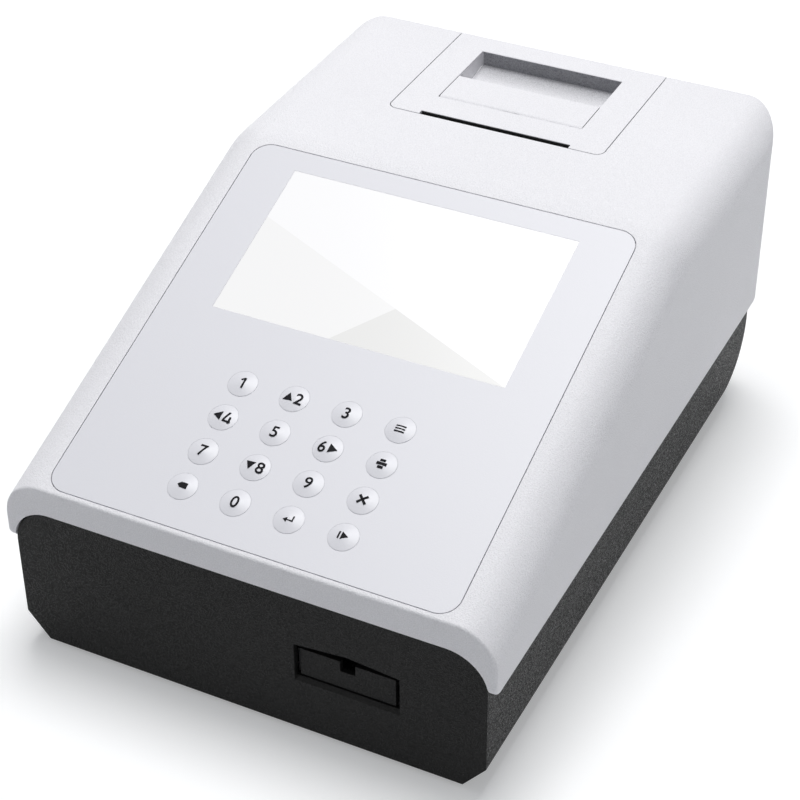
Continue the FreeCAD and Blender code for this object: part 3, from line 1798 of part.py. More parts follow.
def tear_bar():
    """A flat bar seated under the cover's edge, its teeth out over the paper slot."""
    body = new_body("tear_bar")
    half = dim.slot_width / 2
    back = lid_y - dim.lid_gap
    seat_front = back - dim.tear_seat
    count = int(half.value * 2 / dim.tear_pitch.value)
    pitch = dim.slot_width / count
    path = [(half, back)]
    for index in range(count):
        path.append((half - pitch * (index + 0.5), back + dim.tear_tooth))
        path.append((half - pitch * (index + 1), back))
    path += [(-half, seat_front), (half, seat_front)]
    high = dim.case_height - dim.tear_lip
    prism(body, "XY_Plane", path, high - dim.tear_thickness, high)
    node("tear_bar", body)


# Boards, sockets and the switch

def boards():
    left = -dim.main_board_left
    low = base_floor + dim.board_post_height
    plate = box(
        "main_plate",
        (left, left + dim.main_board_width),
        (-dim.main_board_front, -dim.main_board_front + dim.main_board_depth),
        (low, low + dim.board_thickness),
    )
    node("main_board", plate)
    front_face = base_rear - dim.base_wall - dim.inlet_depth
    high = port_row + dim.rear_board_rise
    x = (-dim.serial_place - dim.serial_width / 2, dim.inlet_place + dim.inlet_body / 2)
    node(
        "rear_board",
        box("rear_board", x, (front_face - dim.board_thickness, front_face), (dim.rear_board_low, high)),
    )


def power_inlet():
    """A barrel socket with its centre pin, flush with the rear panel."""
    level = port_row
    back = base_rear - dim.base_wall
    place = dim.inlet_place
    half = dim.inlet_body / 2
    block = box("inlet_block", around(place, half), (back - dim.inlet_depth, back), around(level, half))
    barrel = rod("inlet_barrel", "y", (place, back, level), dim.base_wall, dim.inlet_radius)
    start = base_rear - dim.inlet_bore_depth
    hole = rod(
        "inlet_bore",
        "y",
        (place, start, level),
        dim.inlet_bore_depth + dim.overrun,
        dim.inlet_bore_radius,
    )
    socket = cut("inlet_socket", fuse("inlet_form", [block, barrel]), [hole])
    pin = rod(
        "inlet_pin",
        "y",
        (place, start - dim.overrun, level),
        dim.inlet_bore_depth,
        dim.inlet_pin_radius,
    )
    node("power_inlet", fuse("power_inlet", [socket, pin]))


def data_sockets():
    level = port_row
    front_face = base_rear - dim.base_wall - dim.inlet_depth
    wall = dim.usb_wall
    sockets = []
    for index, place in enumerate(usb_centres):
        body = new_body(f"usb_socket_{index + 1}")
        half = dim.usb_width / 2
        tall = dim.usb_height / 2
        prism(
            body,
            "XZ_Plane",
            rounded(around(place, half), around(level, tall), wall),
            front_face,
            base_rear,
        )
        room = rectangle(around(place, half - wall), around(level, tall - wall))
        pocket(body, "XZ_Plane", room, base_rear - dim.usb_depth + wall, base_rear + dim.overrun)
        tongue = rectangle(around(place, half - wall * 3), (level, level + dim.usb_tongue))
        prism(body, "XZ_Plane", tongue, base_rear - dim.usb_depth, base_rear - wall * 2)
        sockets.append(body)
    pair = doc.addObject("Part::Compound", "usb_sockets")
    pair.Links = sockets
    node("usb_sockets", pair)

    body = new_body("serial_socket")
    place = -dim.serial_place
    half = dim.serial_width / 2
    tall = dim.serial_height / 2
    back = base_rear - dim.base_wall
    prism(
        body,
        "XZ_Plane",
        rectangle(around(place, half), around(level, tall)),
        back - dim.serial_depth,
        back,
    )
    wide = dim.serial_shell_width / 2
    high = dim.serial_shell_height / 2
    lean = wall * 3
    shell = [
        (place - wide + lean, level - high),
        (place + wide - lean, level - high),
        (place + wide, level + high),
        (place - wide, level + high),
    ]
    prism(body, "XZ_Plane", shell, back, back + dim.serial_reach)
    rim = wall * 2
    inner = [
        (place - wide + lean + rim, level - high + rim),
        (place + wide - lean - rim, level - high + rim),
        (place + wide - rim * 1.4, level + high - rim),
        (place - wide + rim * 1.4, level + high - rim),
    ]
    pocket(body, "XZ_Plane", inner, back, back + dim.serial_reach + dim.overrun)
    pins = new_sketch(body, "XZ_Plane", -back)
    spacing = (wide - lean) / 3
    for share in (-2, -1, 0, 1, 2):
        ring(pins, place + spacing * share, level + high / 3, wall)
    for share in (-1.5, -0.5, 0.5, 1.5):
        ring(pins, place + spacing * share, level - high / 3, wall)
    pad = body.newObject("PartDesign::Pad", "serial_pins")
    pad.Profile = pins
    pad.Reversed = True
    bind(pad, "Length", dim.serial_reach - rim)
    node("serial_socket", body)


def power_switch():
    level = port_row
    place = dim.switch_place
    body = new_body("switch_housing")
    wide = dim.switch_width / 2
    tall = dim.switch_height / 2
    flange_end = base_rear + dim.switch_flange
    prism(
        body,
        "XZ_Plane",
        rounded(around(place, wide), around(level, tall), dim.switch_wall),
        base_rear,
        flange_end,
    )
    shrink = dim.switch_rim + dim.running_gap * 4
    prism(
        body,
        "XZ_Plane",
        rectangle(around(place, wide - shrink), around(level, tall - shrink)),
        base_rear - dim.base_wall - dim.switch_depth,
        base_rear,
    )
    inner_wide = wide - shrink - dim.switch_wall
    inner_tall = tall - shrink - dim.switch_wall
    room_start = base_rear - dim.base_wall - dim.switch_depth + dim.switch_wall
    pocket(
        body,
        "XZ_Plane",
        rectangle(around(place, inner_wide), around(level, inner_tall)),
        room_start,
        flange_end + dim.overrun,
    )
    pivot_y = base_rear - dim.rocker_set_in
    pin_reach = inner_tall + dim.switch_wall / 2
    bore(
        body,
        "XY_Plane",
        place,
        pivot_y,
        dim.rocker_pin_radius + dim.running_gap,
        level - pin_reach,
        level + pin_reach,
    )
    node("switch_housing", body)

    rocker = new_body("rocker_key")
    half = dim.rocker_half
    rise = dim.rocker_rise
    back = dim.rocker_pin_radius * 2
    profile = [
        (half, NOTHING),
        (half, rise),
        (NOTHING, dim.rocker_dip),
        (-half, rise),
        (-half, NOTHING),
        (-half / 3, -back),
        (half / 3, -back),
    ]
    tall = inner_tall - dim.guide_gap
    prism(rocker, "XY_Plane", profile, -tall, tall)
    disc(
        rocker,
        "XY_Plane",
        NOTHING,
        NOTHING,
        dim.rocker_pin_radius,
        -pin_reach + dim.running_gap,
        pin_reach - dim.running_gap,
    )
    pivot = f"vector({place.text}; {pivot_y.text}; {level.text})"
    tilt = f"rotation(vector(0; 0; 1); -1 * {dim.rocker_tilt.text})"
    rocker.setExpression("Placement", f"placement({pivot}; {tilt})")
    node("rocker_key", rocker)


# Feet and fasteners

def feet_and_screws():
    feet = []
    side = dim.base_width / 2 - dim.foot_inset
    for x in (-side, side):
        for y in (base_front + dim.foot_inset, base_rear - dim.base_rear_round - dim.foot_radius * 1.4):
            body = doc.addObject("Part::Cone", "foot")
            bind(body, "Radius1", dim.foot_radius - dim.foot_pad)
            bind(body, "Radius2", dim.foot_radius)
            bind(body, "Height", dim.foot_height)
            feet.append(seat(body, x, y, NOTHING))
    group = doc.addObject("Part::Compound", "rubber_feet")
    group.Links = feet
    node("rubber_feet", group)

    screws = []
    head_top = base_top - dim.base_wall - dim.screw_head_height
    for x, y in boss_places:
        head = rod(
            "screw_head",
            "z",
            (x, y, head_top - dim.screw_head_height),
            dim.screw_head_height,
            dim.screw_head_radius,
        )
        shank = rod(
            "screw_shank",
            "z",
            (x, y, head_top - dim.screw_head_height / 2),
            dim.screw_reach + dim.base_wall + dim.screw_head_height,
            dim.screw_radius,
        )
        screws.append(fuse("case_screw", [head, shank]))
    group = doc.addObject("Part::Compound", "case_screws")
    group.Links = screws
    node("case_screws", group)

    screws = []
    for x, y in shelf_places:
        head = rod(
            "shelf_head",
            "z",
            (x, y, shelf_low - dim.screw_head_height),
            dim.screw_head_height,
            dim.screw_head_radius,
        )
        shank = rod(
            "shelf_shank",
            "z",
            (x, y, shelf_low - dim.screw_head_height / 2),
            dim.shelf_thickness + dim.screw_head_height / 2,
            dim.screw_radius,
        )
        screws.append(fuse("shelf_screw", [head, shank]))
    group = doc.addObject("Part::Compound", "shelf_screws")
    group.Links = screws
    node("shelf_screws", group)


def check(thing):
    if any(state in ("Invalid", "Error") for state in thing.State):
        raise RuntimeError(f"{thing.Label} failed to build: {thing.State}")


def write_nodes():
    doc.recompute()
    for thing in doc.Objects:
        check(thing)
        if thing.TypeId == "PartDesign::Pocket" and thing.BaseFeature.Shape.Volume <= thing.Shape.Volume:
            raise RuntimeError(f"{thing.Label} cuts nothing")
    os.makedirs("parts", exist_ok=True)
    for name, thing in NODES.items():
        if thing.Shape.isNull() or not thing.Shape.isValid():
            raise RuntimeError(f"{name} has no valid shape")
        thing.Shape.exportStep(f"parts/{name}.step")


case_outside = cover_outside()
top_cover(case_outside)
base_shell()
control_panel()
keypad()
strip_tray()
tray_drive()
tray_guide()
optical_head()
printer_shelf()
printer_frame()
printer_gears()
printer_lid(case_outside)
latch_flap()
tear_bar()
boards()
power_inlet()
data_sockets()
power_switch()
feet_and_screws()
write_nodes()
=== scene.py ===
import json
import math

import bmesh
import bpy
from bpy.props import FloatProperty, FloatVectorProperty, PointerProperty
from mathutils import Matrix, Vector

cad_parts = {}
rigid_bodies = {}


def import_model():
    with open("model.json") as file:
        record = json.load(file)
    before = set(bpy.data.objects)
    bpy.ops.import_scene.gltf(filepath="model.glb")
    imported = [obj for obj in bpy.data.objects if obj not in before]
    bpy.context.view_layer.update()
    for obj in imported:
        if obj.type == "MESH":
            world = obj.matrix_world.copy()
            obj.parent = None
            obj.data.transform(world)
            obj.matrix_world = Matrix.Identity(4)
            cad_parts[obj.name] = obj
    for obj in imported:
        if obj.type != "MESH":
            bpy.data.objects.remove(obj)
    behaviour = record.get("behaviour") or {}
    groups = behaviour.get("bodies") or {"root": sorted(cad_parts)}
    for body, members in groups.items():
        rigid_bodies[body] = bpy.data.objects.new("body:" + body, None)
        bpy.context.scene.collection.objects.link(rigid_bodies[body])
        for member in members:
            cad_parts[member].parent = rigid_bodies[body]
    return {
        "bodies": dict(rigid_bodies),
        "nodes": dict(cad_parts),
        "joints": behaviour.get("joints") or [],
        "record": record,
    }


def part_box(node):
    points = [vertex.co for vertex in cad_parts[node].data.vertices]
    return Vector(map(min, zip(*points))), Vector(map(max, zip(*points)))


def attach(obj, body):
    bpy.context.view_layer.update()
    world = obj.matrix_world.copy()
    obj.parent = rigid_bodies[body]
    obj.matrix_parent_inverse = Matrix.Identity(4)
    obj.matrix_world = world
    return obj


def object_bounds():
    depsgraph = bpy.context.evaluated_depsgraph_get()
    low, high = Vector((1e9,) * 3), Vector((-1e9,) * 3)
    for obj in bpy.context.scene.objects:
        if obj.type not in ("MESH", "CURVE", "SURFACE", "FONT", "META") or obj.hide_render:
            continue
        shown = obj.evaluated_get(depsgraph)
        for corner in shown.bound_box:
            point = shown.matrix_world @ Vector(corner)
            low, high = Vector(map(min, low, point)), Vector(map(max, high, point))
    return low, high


bl_info = {
    "name": "Urine Analyzer Looks",
    "version": (1, 0, 0),
    "blender": (4, 5, 0),
    "location": "3D View > Sidebar > Analyzer",
    "description": "Finishes, key legends and studio for a bench-top urine strip analyzer",
    "category": "Object",
}

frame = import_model()
cad_low, cad_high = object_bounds()
NODES = frame["nodes"]
RECORD = frame["record"]
BODY_OF = {node: body for body, nodes in RECORD["behaviour"]["bodies"].items() for node in nodes}
JOINTS = {joint["name"]: joint for joint in frame["joints"]}

MM = 0.001

# Fineness of the patterns, in waves to the metre, and how much of each shows
CLOUD_SCALE = 14.0
CLOUD_DETAIL = 3.0
CLOUD_SHARE = 0.2
LINE_SCALE = 900.0
LINE_DETAIL = 3.0
LINE_STRETCH = (6.0, 1.0, 1.0)
LINE_SHARE = 0.25
LINE_BUMP = 0.1
LINE_DEPTH = 0.02 * MM
LAYER_SCALE = 4000.0
LAYER_SHARE = 0.12
LAYER_LEAST = 0.92
TRACK_SCALE = 110.0
TRACK_WIDTH = 0.03
TRACK_GAIN = 1.8
TRACK_BUMP = 0.2
TRACK_DEPTH = 0.03 * MM

# Roughness and grain contrast of each moulded finish
FINISH = {
    "overlay_film": (0.4, 0.02),
    "key_caps": (0.38, 0.015),
    "legend_ink": (0.6, 0.1),
    "foot_rubber": (0.8, 0.2),
    "platen_rubber": (0.7, 0.2),
    "nylon": (0.5, 0.05),
    "dark_plastic": (0.5, 0.3),
    "grey_plastic": (0.55, 0.06),
    "glazed_head": (0.15, 0.05),
}
SHELL_CONTRAST = 0.35
BASE_CONTRAST = 2.2
FULL_BUMP = 1.0
FAINT_BUMP = 0.1
PLAIN_GLOSS = 0.5
BASE_GLOSS = 0.16
INK_GLOSS = 0.1
STEEL_ROUGHNESS = 0.3
PAPER_ROUGHNESS = 0.7
BOARD_ROUGHNESS = 0.3
GLASS_ROUGHNESS = 0.2
GLASS_GLOSS = 0.2
GLASS_COLOUR = (0.02, 0.02, 0.02)
FLOOR_ROUGHNESS = 0.9
OVERLAY_EDGE = 0.12 * MM
BEVEL_SAMPLES = 4

# A surface of the lid whose normal points down more than this is its underside
UNDERSIDE = -0.3

# How finely the keys' domes are read, and the digits and films are made
CROWN_BAND = 0.01 * MM
RIM_SHARE = 0.99
WELD = 0.001 * MM
SKIRT_SIDES = 64
DIGIT_SHARE = 0.7
DIGIT_WEIGHT = 0.018
DIGIT_STEPS = 6
BESIDE_SHARE = 0.46

FLOOR_CELLS = 8
FLOOR_SPAN = 14
SENSOR_WIDTH = 36.0
WHITE = (1.0, 1.0, 1.0, 1.0)


# Sizes and colours that a user may change

def colour_field(name, description, default):
    return FloatVectorProperty(name=name, description=description, default=default, size=3,
                               min=0.0, max=1.0, subtype="COLOR")


def length_field(name, description, default):
    return FloatProperty(name=name, description=description, default=default, unit="LENGTH")


def share_field(name, description, default):
    return FloatProperty(name=name, description=description, default=default, min=0.0, max=1.0,
                         subtype="FACTOR")


def power_field(name, description, default):
    return FloatProperty(name=name, description=description, default=default, unit="POWER")


def place_field(name, description, default):
    return FloatVectorProperty(name=name, description=description, default=default, size=3,
                               subtype="TRANSLATION", unit="LENGTH")


class AnalyzerCaseLooks(bpy.types.PropertyGroup):
    shell: colour_field("Shell", "Moulded white of the cover, lid, flap and tear bar", (0.845, 0.835, 0.86))
    base: colour_field("Base", "Moulded charcoal of the base and the strip tray", (0.007, 0.007, 0.007))
    # Painted shade: Recess is the darker colour painted towards the back of the finger recess, where shade
    # falls; the coarser grain there is real texture. The reach and Recess fall set how far that painted
    # shade and grain go.
    recess: colour_field("Recess", "Coarser texture at the back of the finger recess", (0.33, 0.33, 0.35))
    shade_and_grain_reach: length_field("Recess reach", "How far the texture goes beside the free room", 0.6 * MM)
    recess_fall: length_field("Recess fall", "How far the recess goes below the free room", 4.0 * MM)
    # Painted shade: Slot fall is how far down the slot's wall is painted dark.
    slot_fall: length_field("Slot fall", "How far down the slot's wall is dark", 2.5 * MM)
    rubber: colour_field("Rubber", "Feet and platen", (0.018, 0.018, 0.019))
    grain: length_field("Grain size", "Size of the moulded grain", 0.42 * MM)
    grain_depth: length_field("Grain depth", "Depth of the moulded grain", 0.25 * MM)
    edge: length_field("Edge softness", "Radius that catches light on moulded edges", 0.25 * MM)
    shell_roughness: share_field("Shell roughness", "Roughness of the white shell", 0.45)
    base_roughness: share_field("Base roughness", "Roughness of the charcoal base", 0.5)


class AnalyzerPanelLooks(bpy.types.PropertyGroup):
    overlay: colour_field("Overlay", "Printed film over the slope", (0.745, 0.74, 0.775))
    key: colour_field("Keys", "Moulded key caps", (0.755, 0.75, 0.785))
    ink: colour_field("Ink", "Legends on the keys", (0.006, 0.006, 0.008))
    screen: colour_field("Screen", "Lit display, upper facet", (0.95, 0.95, 0.965))
    screen_middle: colour_field("Screen, middle", "Lit display, left facet", (0.905, 0.905, 0.91))
    screen_low: colour_field("Screen, low", "Lit display, lower facet", (0.81, 0.81, 0.805))
    screen_glow: share_field("Screen glow", "Strength of the lit display", 0.97)
    digit: length_field("Digit height", "Height of a digit on a key", 4.1 * MM)
    mark: length_field("Mark size", "Size of an arrow or a function mark", 3.5 * MM)
    skirt: length_field("Skirt thickness", "Film between a key and the overlay", 0.12 * MM)
    skirt_gap: length_field("Skirt gap", "Room between the film and what it touches", 0.02 * MM)
    print_lift: length_field("Print thickness", "How far the ink stands above a key", 0.03 * MM)
    print_step: length_field("Print facet", "Largest facet of a legend on a key's dome", 0.4 * MM)


class AnalyzerInnerLooks(bpy.types.PropertyGroup):
    board: colour_field("Circuit board", "Solder mask", (0.012, 0.09, 0.04))
    dark: colour_field("Dark plastic", "Inner moulded parts and sockets", (0.018, 0.018, 0.02))
    grey: colour_field("Grey plastic", "Paper trough", (0.42, 0.42, 0.44))
    nylon: colour_field("Nylon", "Gears, rack, bushes and strip insert", (0.78, 0.77, 0.73))
    steel: colour_field("Steel", "Shafts, pins, screws and socket shells", (0.56, 0.56, 0.58))
    paper: colour_field("Paper", "Thermal paper roll", (0.87, 0.87, 0.86))


class AnalyzerStudio(bpy.types.PropertyGroup):
    floor: colour_field("Floor", "Floor and backdrop", (0.82, 0.82, 0.82))
    floor_near: length_field("Shadow reach", "Where the floor starts to fade to plain white", 0.35)
    floor_far: length_field("White from", "Where the floor is plain white to the camera", 0.9)
    floor_lift: share_field("Floor lift", "White that the camera sees over the floor's own light", 0.3)
    camera_place: place_field("Camera place", "Where the camera stands", (0.27402, -0.56246, 0.50511))
    camera_turn: FloatVectorProperty(name="Camera turn", description="How the camera is turned", size=3,
                                     default=tuple(math.radians(angle) for angle in (53.587, 0.357, 26.264)),
                                     subtype="EULER")
    lens: FloatProperty(name="Lens", description="Focal length in millimetres", default=97.37)
    key_light: power_field("Key light", "Power of the large lamp above", 32.8)
    key_place: place_field("Key place", "Where the lamp hangs, from the middle", (-0.12, 0.38, 1.95))
    key_size: length_field("Key size", "Side of the square lamp", 1.05)
    side_light: power_field("Side light", "Power of the lamp at the right", 1.2)
    side_place: place_field("Side place", "Where the side lamp stands, from the middle", (1.7, -0.2, 0.5))
    side_size: length_field("Side size", "Side of the side lamp", 1.2)
    sky: share_field("Sky", "Strength of the even light from all round", 0.26)
    sky_tint: colour_field("Sky tint", "Colour of the even light", (0.88, 0.93, 1.0))


# Shader building

class Shading:
    """One node tree with short ways to add nodes and join sockets."""

    def __init__(self, tree):
        self.tree = tree

    def add(self, kind, **settings):
        node = self.tree.nodes.new(kind)
        for name, value in settings.items():
            setattr(node, name, value)
        return node

    def join(self, source, target):
        self.tree.links.new(source, target)

    def feed(self, socket, value):
        if isinstance(value, bpy.types.NodeSocket):
            self.join(value, socket)
        else:
            socket.default_value = value

    def sum(self, operation, *values):
        node = self.add("ShaderNodeMath", operation=operation)
        for socket, value in zip(node.inputs, values):
            self.feed(socket, value)
        return node.outputs[0]

    def both(self, *masks):
        mask = masks[0]
        for other in masks[1:]:
            mask = self.sum("MULTIPLY", mask, other)
        return mask

    def below(self, value, high):
        return self.sum("LESS_THAN", value, high)

    def above(self, value, low):
        return self.sum("GREATER_THAN", value, low)

    def blend(self, share, first, second):
        node = self.add("ShaderNodeMix", data_type="RGBA")
        self.feed(node.inputs["Factor"], share)
        self.feed(node.inputs["A"], first)
        self.feed(node.inputs["B"], second)
        return node.outputs["Result"]

    def noise(self, vector, scale, detail=2.0):
        node = self.add("ShaderNodeTexNoise")
        self.join(vector, node.inputs["Vector"])
        self.feed(node.inputs["Scale"], scale)
        node.inputs["Detail"].default_value = detail
        return node.outputs["Fac"]


def opaque(colour):
    return (*colour, 1.0)


def group_tree(name, inputs, outputs):
    """A shader node group with its sockets, ready to be filled."""
    tree = bpy.data.node_groups.new(name, "ShaderNodeTree")
    for label, kind, default in inputs:
        socket = tree.interface.new_socket(label, in_out="INPUT", socket_type=kind)
        socket.default_value = default
    for label, kind in outputs:
        tree.interface.new_socket(label, in_out="OUTPUT", socket_type=kind)
    shading = Shading(tree)
    return shading, shading.add("NodeGroupInput").outputs, shading.add("NodeGroupOutput").inputs


def moulded_grain_group():
    """Fine spark-eroded grain: it mottles the colour, the gloss and the height."""
    shading, given, result = group_tree(
        "moulded_grain",
        [("Color", "NodeSocketColor", (0.8, 0.8, 0.8, 1.0)), ("Scale", "NodeSocketFloat", 1600.0),
         ("Contrast", "NodeSocketFloat", 0.1), ("Roughness", "NodeSocketFloat", 0.5)],
        [("Color", "NodeSocketColor"), ("Roughness", "NodeSocketFloat"), ("Height", "NodeSocketFloat")],
    )
    place = shading.add("ShaderNodeTexCoord").outputs["Object"]
    fine = shading.noise(place, given["Scale"])
    cloud = shading.noise(place, CLOUD_SCALE, CLOUD_DETAIL)
    speck = shading.sum("MULTIPLY", shading.sum("SUBTRACT", fine, 0.5), given["Contrast"])
    wide_contrast = shading.sum("MULTIPLY", given["Contrast"], CLOUD_SHARE)
    drift = shading.sum("MULTIPLY", shading.sum("SUBTRACT", cloud, 0.5), wide_contrast)
    level = shading.sum("ADD", shading.sum("ADD", speck, drift), 1.0)
    scaled = shading.add("ShaderNodeVectorMath", operation="SCALE")
    shading.join(given["Color"], scaled.inputs[0])
    shading.join(level, scaled.inputs["Scale"])
    shading.join(scaled.outputs[0], result["Color"])
    shading.join(shading.sum("ADD", given["Roughness"], speck), result["Roughness"])
    shading.join(fine, result["Height"])


def brushed_lines_group():
    """Fine rings round the X axis, as turning leaves them."""
    shading, given, result = group_tree(
        "brushed_lines",
        [("Color", "NodeSocketColor", (0.5, 0.5, 0.5, 1.0)), ("Roughness", "NodeSocketFloat", 0.3)],
        [("Color", "NodeSocketColor"), ("Roughness", "NodeSocketFloat"), ("Height", "NodeSocketFloat")],
    )
    place = shading.add("ShaderNodeTexCoord").outputs["Object"]
    stretch = shading.add("ShaderNodeVectorMath", operation="MULTIPLY")
    shading.join(place, stretch.inputs[0])
    stretch.inputs[1].default_value = LINE_STRETCH
    lines = shading.noise(stretch.outputs[0], LINE_SCALE, LINE_DETAIL)
    offset = shading.sum("MULTIPLY", shading.sum("SUBTRACT", lines, 0.5), LINE_SHARE)
    scaled = shading.add("ShaderNodeVectorMath", operation="SCALE")
    shading.join(given["Color"], scaled.inputs[0])
    shading.join(shading.sum("ADD", offset, 1.0), scaled.inputs["Scale"])
    shading.join(scaled.outputs[0], result["Color"])
    shading.join(shading.sum("ADD", given["Roughness"], offset), result["Roughness"])
    shading.join(lines, result["Height"])


def place_group(shading, name, **values):
    node = shading.add("ShaderNodeGroup", node_tree=bpy.data.node_groups[name])
    for label, value in values.items():
        shading.feed(node.inputs[label], value)
    return node.outputs


def new_material(name):
    material = bpy.data.materials.new(name)
    material.use_nodes = True
    shading = Shading(material.node_tree)
    return material, shading, material.node_tree.nodes["Principled BSDF"]


def soften_and_bump(shading, shader, height, strength, distance, edge=None):
    """Feed the shader's normal with a bump, over edges that are softened by a radius."""
    bump = shading.add("ShaderNodeBump")
    bump.inputs["Strength"].default_value = strength
    bump.inputs["Distance"].default_value = distance
    shading.join(height, bump.inputs["Height"])
    if edge:
        bevel = shading.add("ShaderNodeBevel", samples=BEVEL_SAMPLES)
        bevel.inputs["Radius"].default_value = edge
        shading.join(bevel.outputs["Normal"], bump.inputs["Normal"])
    shading.join(bump.outputs["Normal"], shader.inputs["Normal"])


def grained(shading, shader, colour, roughness, contrast, bump, edge):
    """Feed a shader with grained plastic of one colour or of a blend."""
    looks = bpy.context.scene.analyzer_case
    grain = place_group(shading, "moulded_grain", Color=colour, Scale=1.0 / looks.grain,
                        Contrast=contrast, Roughness=roughness)
    shading.join(grain["Color"], shader.inputs["Base Color"])
    shading.join(grain["Roughness"], shader.inputs["Roughness"])
    soften_and_bump(shading, shader, grain["Height"], bump, looks.grain_depth, edge)


def moulded(name, colour, roughness, contrast, edge=None, bump=FAINT_BUMP, gloss=PLAIN_GLOSS):
    """Grained moulded plastic."""
    material, shading, shader = new_material(name)
    shader.inputs["Specular IOR Level"].default_value = gloss
    grained(shading, shader, opaque(colour), roughness, contrast, bump, edge)
    return material


def plain(name, colour, **settings):
    """Moulded plastic or rubber with the roughness and contrast of its finish."""
    roughness, contrast = FINISH[name]
    return moulded(name, colour, roughness, contrast, **settings)


def lid_shell():
    """The cover's plastic with painted shade: darker towards the recess's back and black in the slot and
    beside the flap, where shade falls; the recess also has coarser grain.
    """
    looks = bpy.context.scene.analyzer_case
    room_low, room_high = (Vector(corner) for corner in RECORD["physics"]["openings"][0]["box_m"])
    lid_low, lid_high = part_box("printer_lid")
    flap_low, flap_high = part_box("latch_flap")
    bar_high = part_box("tear_bar")[1]
    reach = looks.shade_and_grain_reach
    material, shading, shader = new_material("lid_shell")
    surface = shading.add("ShaderNodeTexCoord")
    place = shading.add("ShaderNodeSeparateXYZ")
    shading.join(surface.outputs["Object"], place.inputs[0])
    facing = shading.add("ShaderNodeSeparateXYZ")
    shading.join(surface.outputs["Normal"], facing.inputs[0])
    across = shading.sum("ABSOLUTE", place.outputs["X"])
    along = place.outputs["Y"]
    height = place.outputs["Z"]
    back = shading.add("ShaderNodeMapRange")
    shading.join(along, back.inputs["Value"])
    back.inputs["From Min"].default_value = (room_low.y + room_high.y) / 2
    back.inputs["From Max"].default_value = room_high.y
    below_top = shading.both(
        shading.above(facing.outputs["Z"], UNDERSIDE),
        shading.above(height, room_low.z - looks.recess_fall),
        shading.below(height, lid_high.z - looks.edge),
    )
    # Ramps up towards the recess's back wall: it darkens the colour there as painted shade and raises the
    # grain's contrast as real coarser texture.
    recess_shade_and_grain = shading.both(
        shading.below(across, room_high.x + reach),
        shading.below(along, room_high.y + reach),
        below_top,
        back.outputs["Result"],
    )
    # Painted shade: the slot's wall and the gap beside the flap take the base's charcoal, where shade falls
    # in them.
    in_slot = shading.both(
        shading.below(along, (lid_low.y + flap_low.y) / 2),
        shading.above(height, lid_high.z - looks.slot_fall),
        shading.below(across, bar_high.x),
    )
    by_flap = shading.both(
        shading.below(along, flap_high.y - reach),
        shading.above(across, flap_high.x + looks.edge / 2),
        shading.below(across, flap_high.x + reach),
    )
    shaded = shading.both(shading.sum("MAXIMUM", in_slot, by_flap), below_top)
    # Painted shade: the shell blends to the darker Recess colour towards the recess's back.
    shell_with_recess_shade = shading.blend(recess_shade_and_grain, opaque(looks.shell), opaque(looks.recess))
    colour = shading.blend(shaded, shell_with_recess_shade, opaque(looks.base))
    contrast = shading.sum("ADD", recess_shade_and_grain, SHELL_CONTRAST)
    grained(shading, shader, colour, looks.shell_roughness, contrast, FULL_BUMP, looks.edge)
    return material


def metal(name, colour, roughness):
    """Drawn or turned metal."""
    material, shading, shader = new_material(name)
    lines = place_group(shading, "brushed_lines", Color=opaque(colour), Roughness=roughness)
    shading.join(lines["Color"], shader.inputs["Base Color"])
    shading.join(lines["Roughness"], shader.inputs["Roughness"])
    shader.inputs["Metallic"].default_value = 1.0
    soften_and_bump(shading, shader, lines["Height"], LINE_BUMP, LINE_DEPTH)
    return material


def lit_screen():
    """The lit display behind its window: white, with two faint facets in its lower corner."""
    looks = bpy.context.scene.analyzer_panel
    low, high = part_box("display_window")
    material, shading, shader = new_material("lit_screen")
    place = shading.add("ShaderNodeSeparateXYZ")
    shading.join(shading.add("ShaderNodeTexCoord").outputs["Object"], place.inputs[0])
    across = shading.sum("DIVIDE", shading.sum("SUBTRACT", place.outputs["X"], low.x), high.x - low.x)
    up = shading.sum("DIVIDE", shading.sum("SUBTRACT", place.outputs["Y"], low.y), high.y - low.y)
    fold_start, fold_foot, fold_peak = 0.65, 0.41, 0.56
    fold = shading.sum("MULTIPLY", shading.sum("SUBTRACT", 1.0, across), fold_start)
    under_fold = shading.sum("LESS_THAN", up, fold)
    rise = fold_start * (1 - fold_peak) / (fold_peak - fold_foot)
    ridge = shading.sum("MULTIPLY", shading.sum("SUBTRACT", across, fold_foot), rise)
    under_ridge = shading.sum("MULTIPLY", shading.sum("LESS_THAN", up, ridge), under_fold)
    first = shading.blend(under_fold, opaque(looks.screen), opaque(looks.screen_middle))
    picture = shading.blend(under_ridge, first, opaque(looks.screen_low))
    shader.inputs["Base Color"].default_value = opaque(GLASS_COLOUR)
    shader.inputs["Roughness"].default_value = GLASS_ROUGHNESS
    shader.inputs["Specular IOR Level"].default_value = GLASS_GLOSS
    shading.join(picture, shader.inputs["Emission Color"])
    shader.inputs["Emission Strength"].default_value = looks.screen_glow
    return material


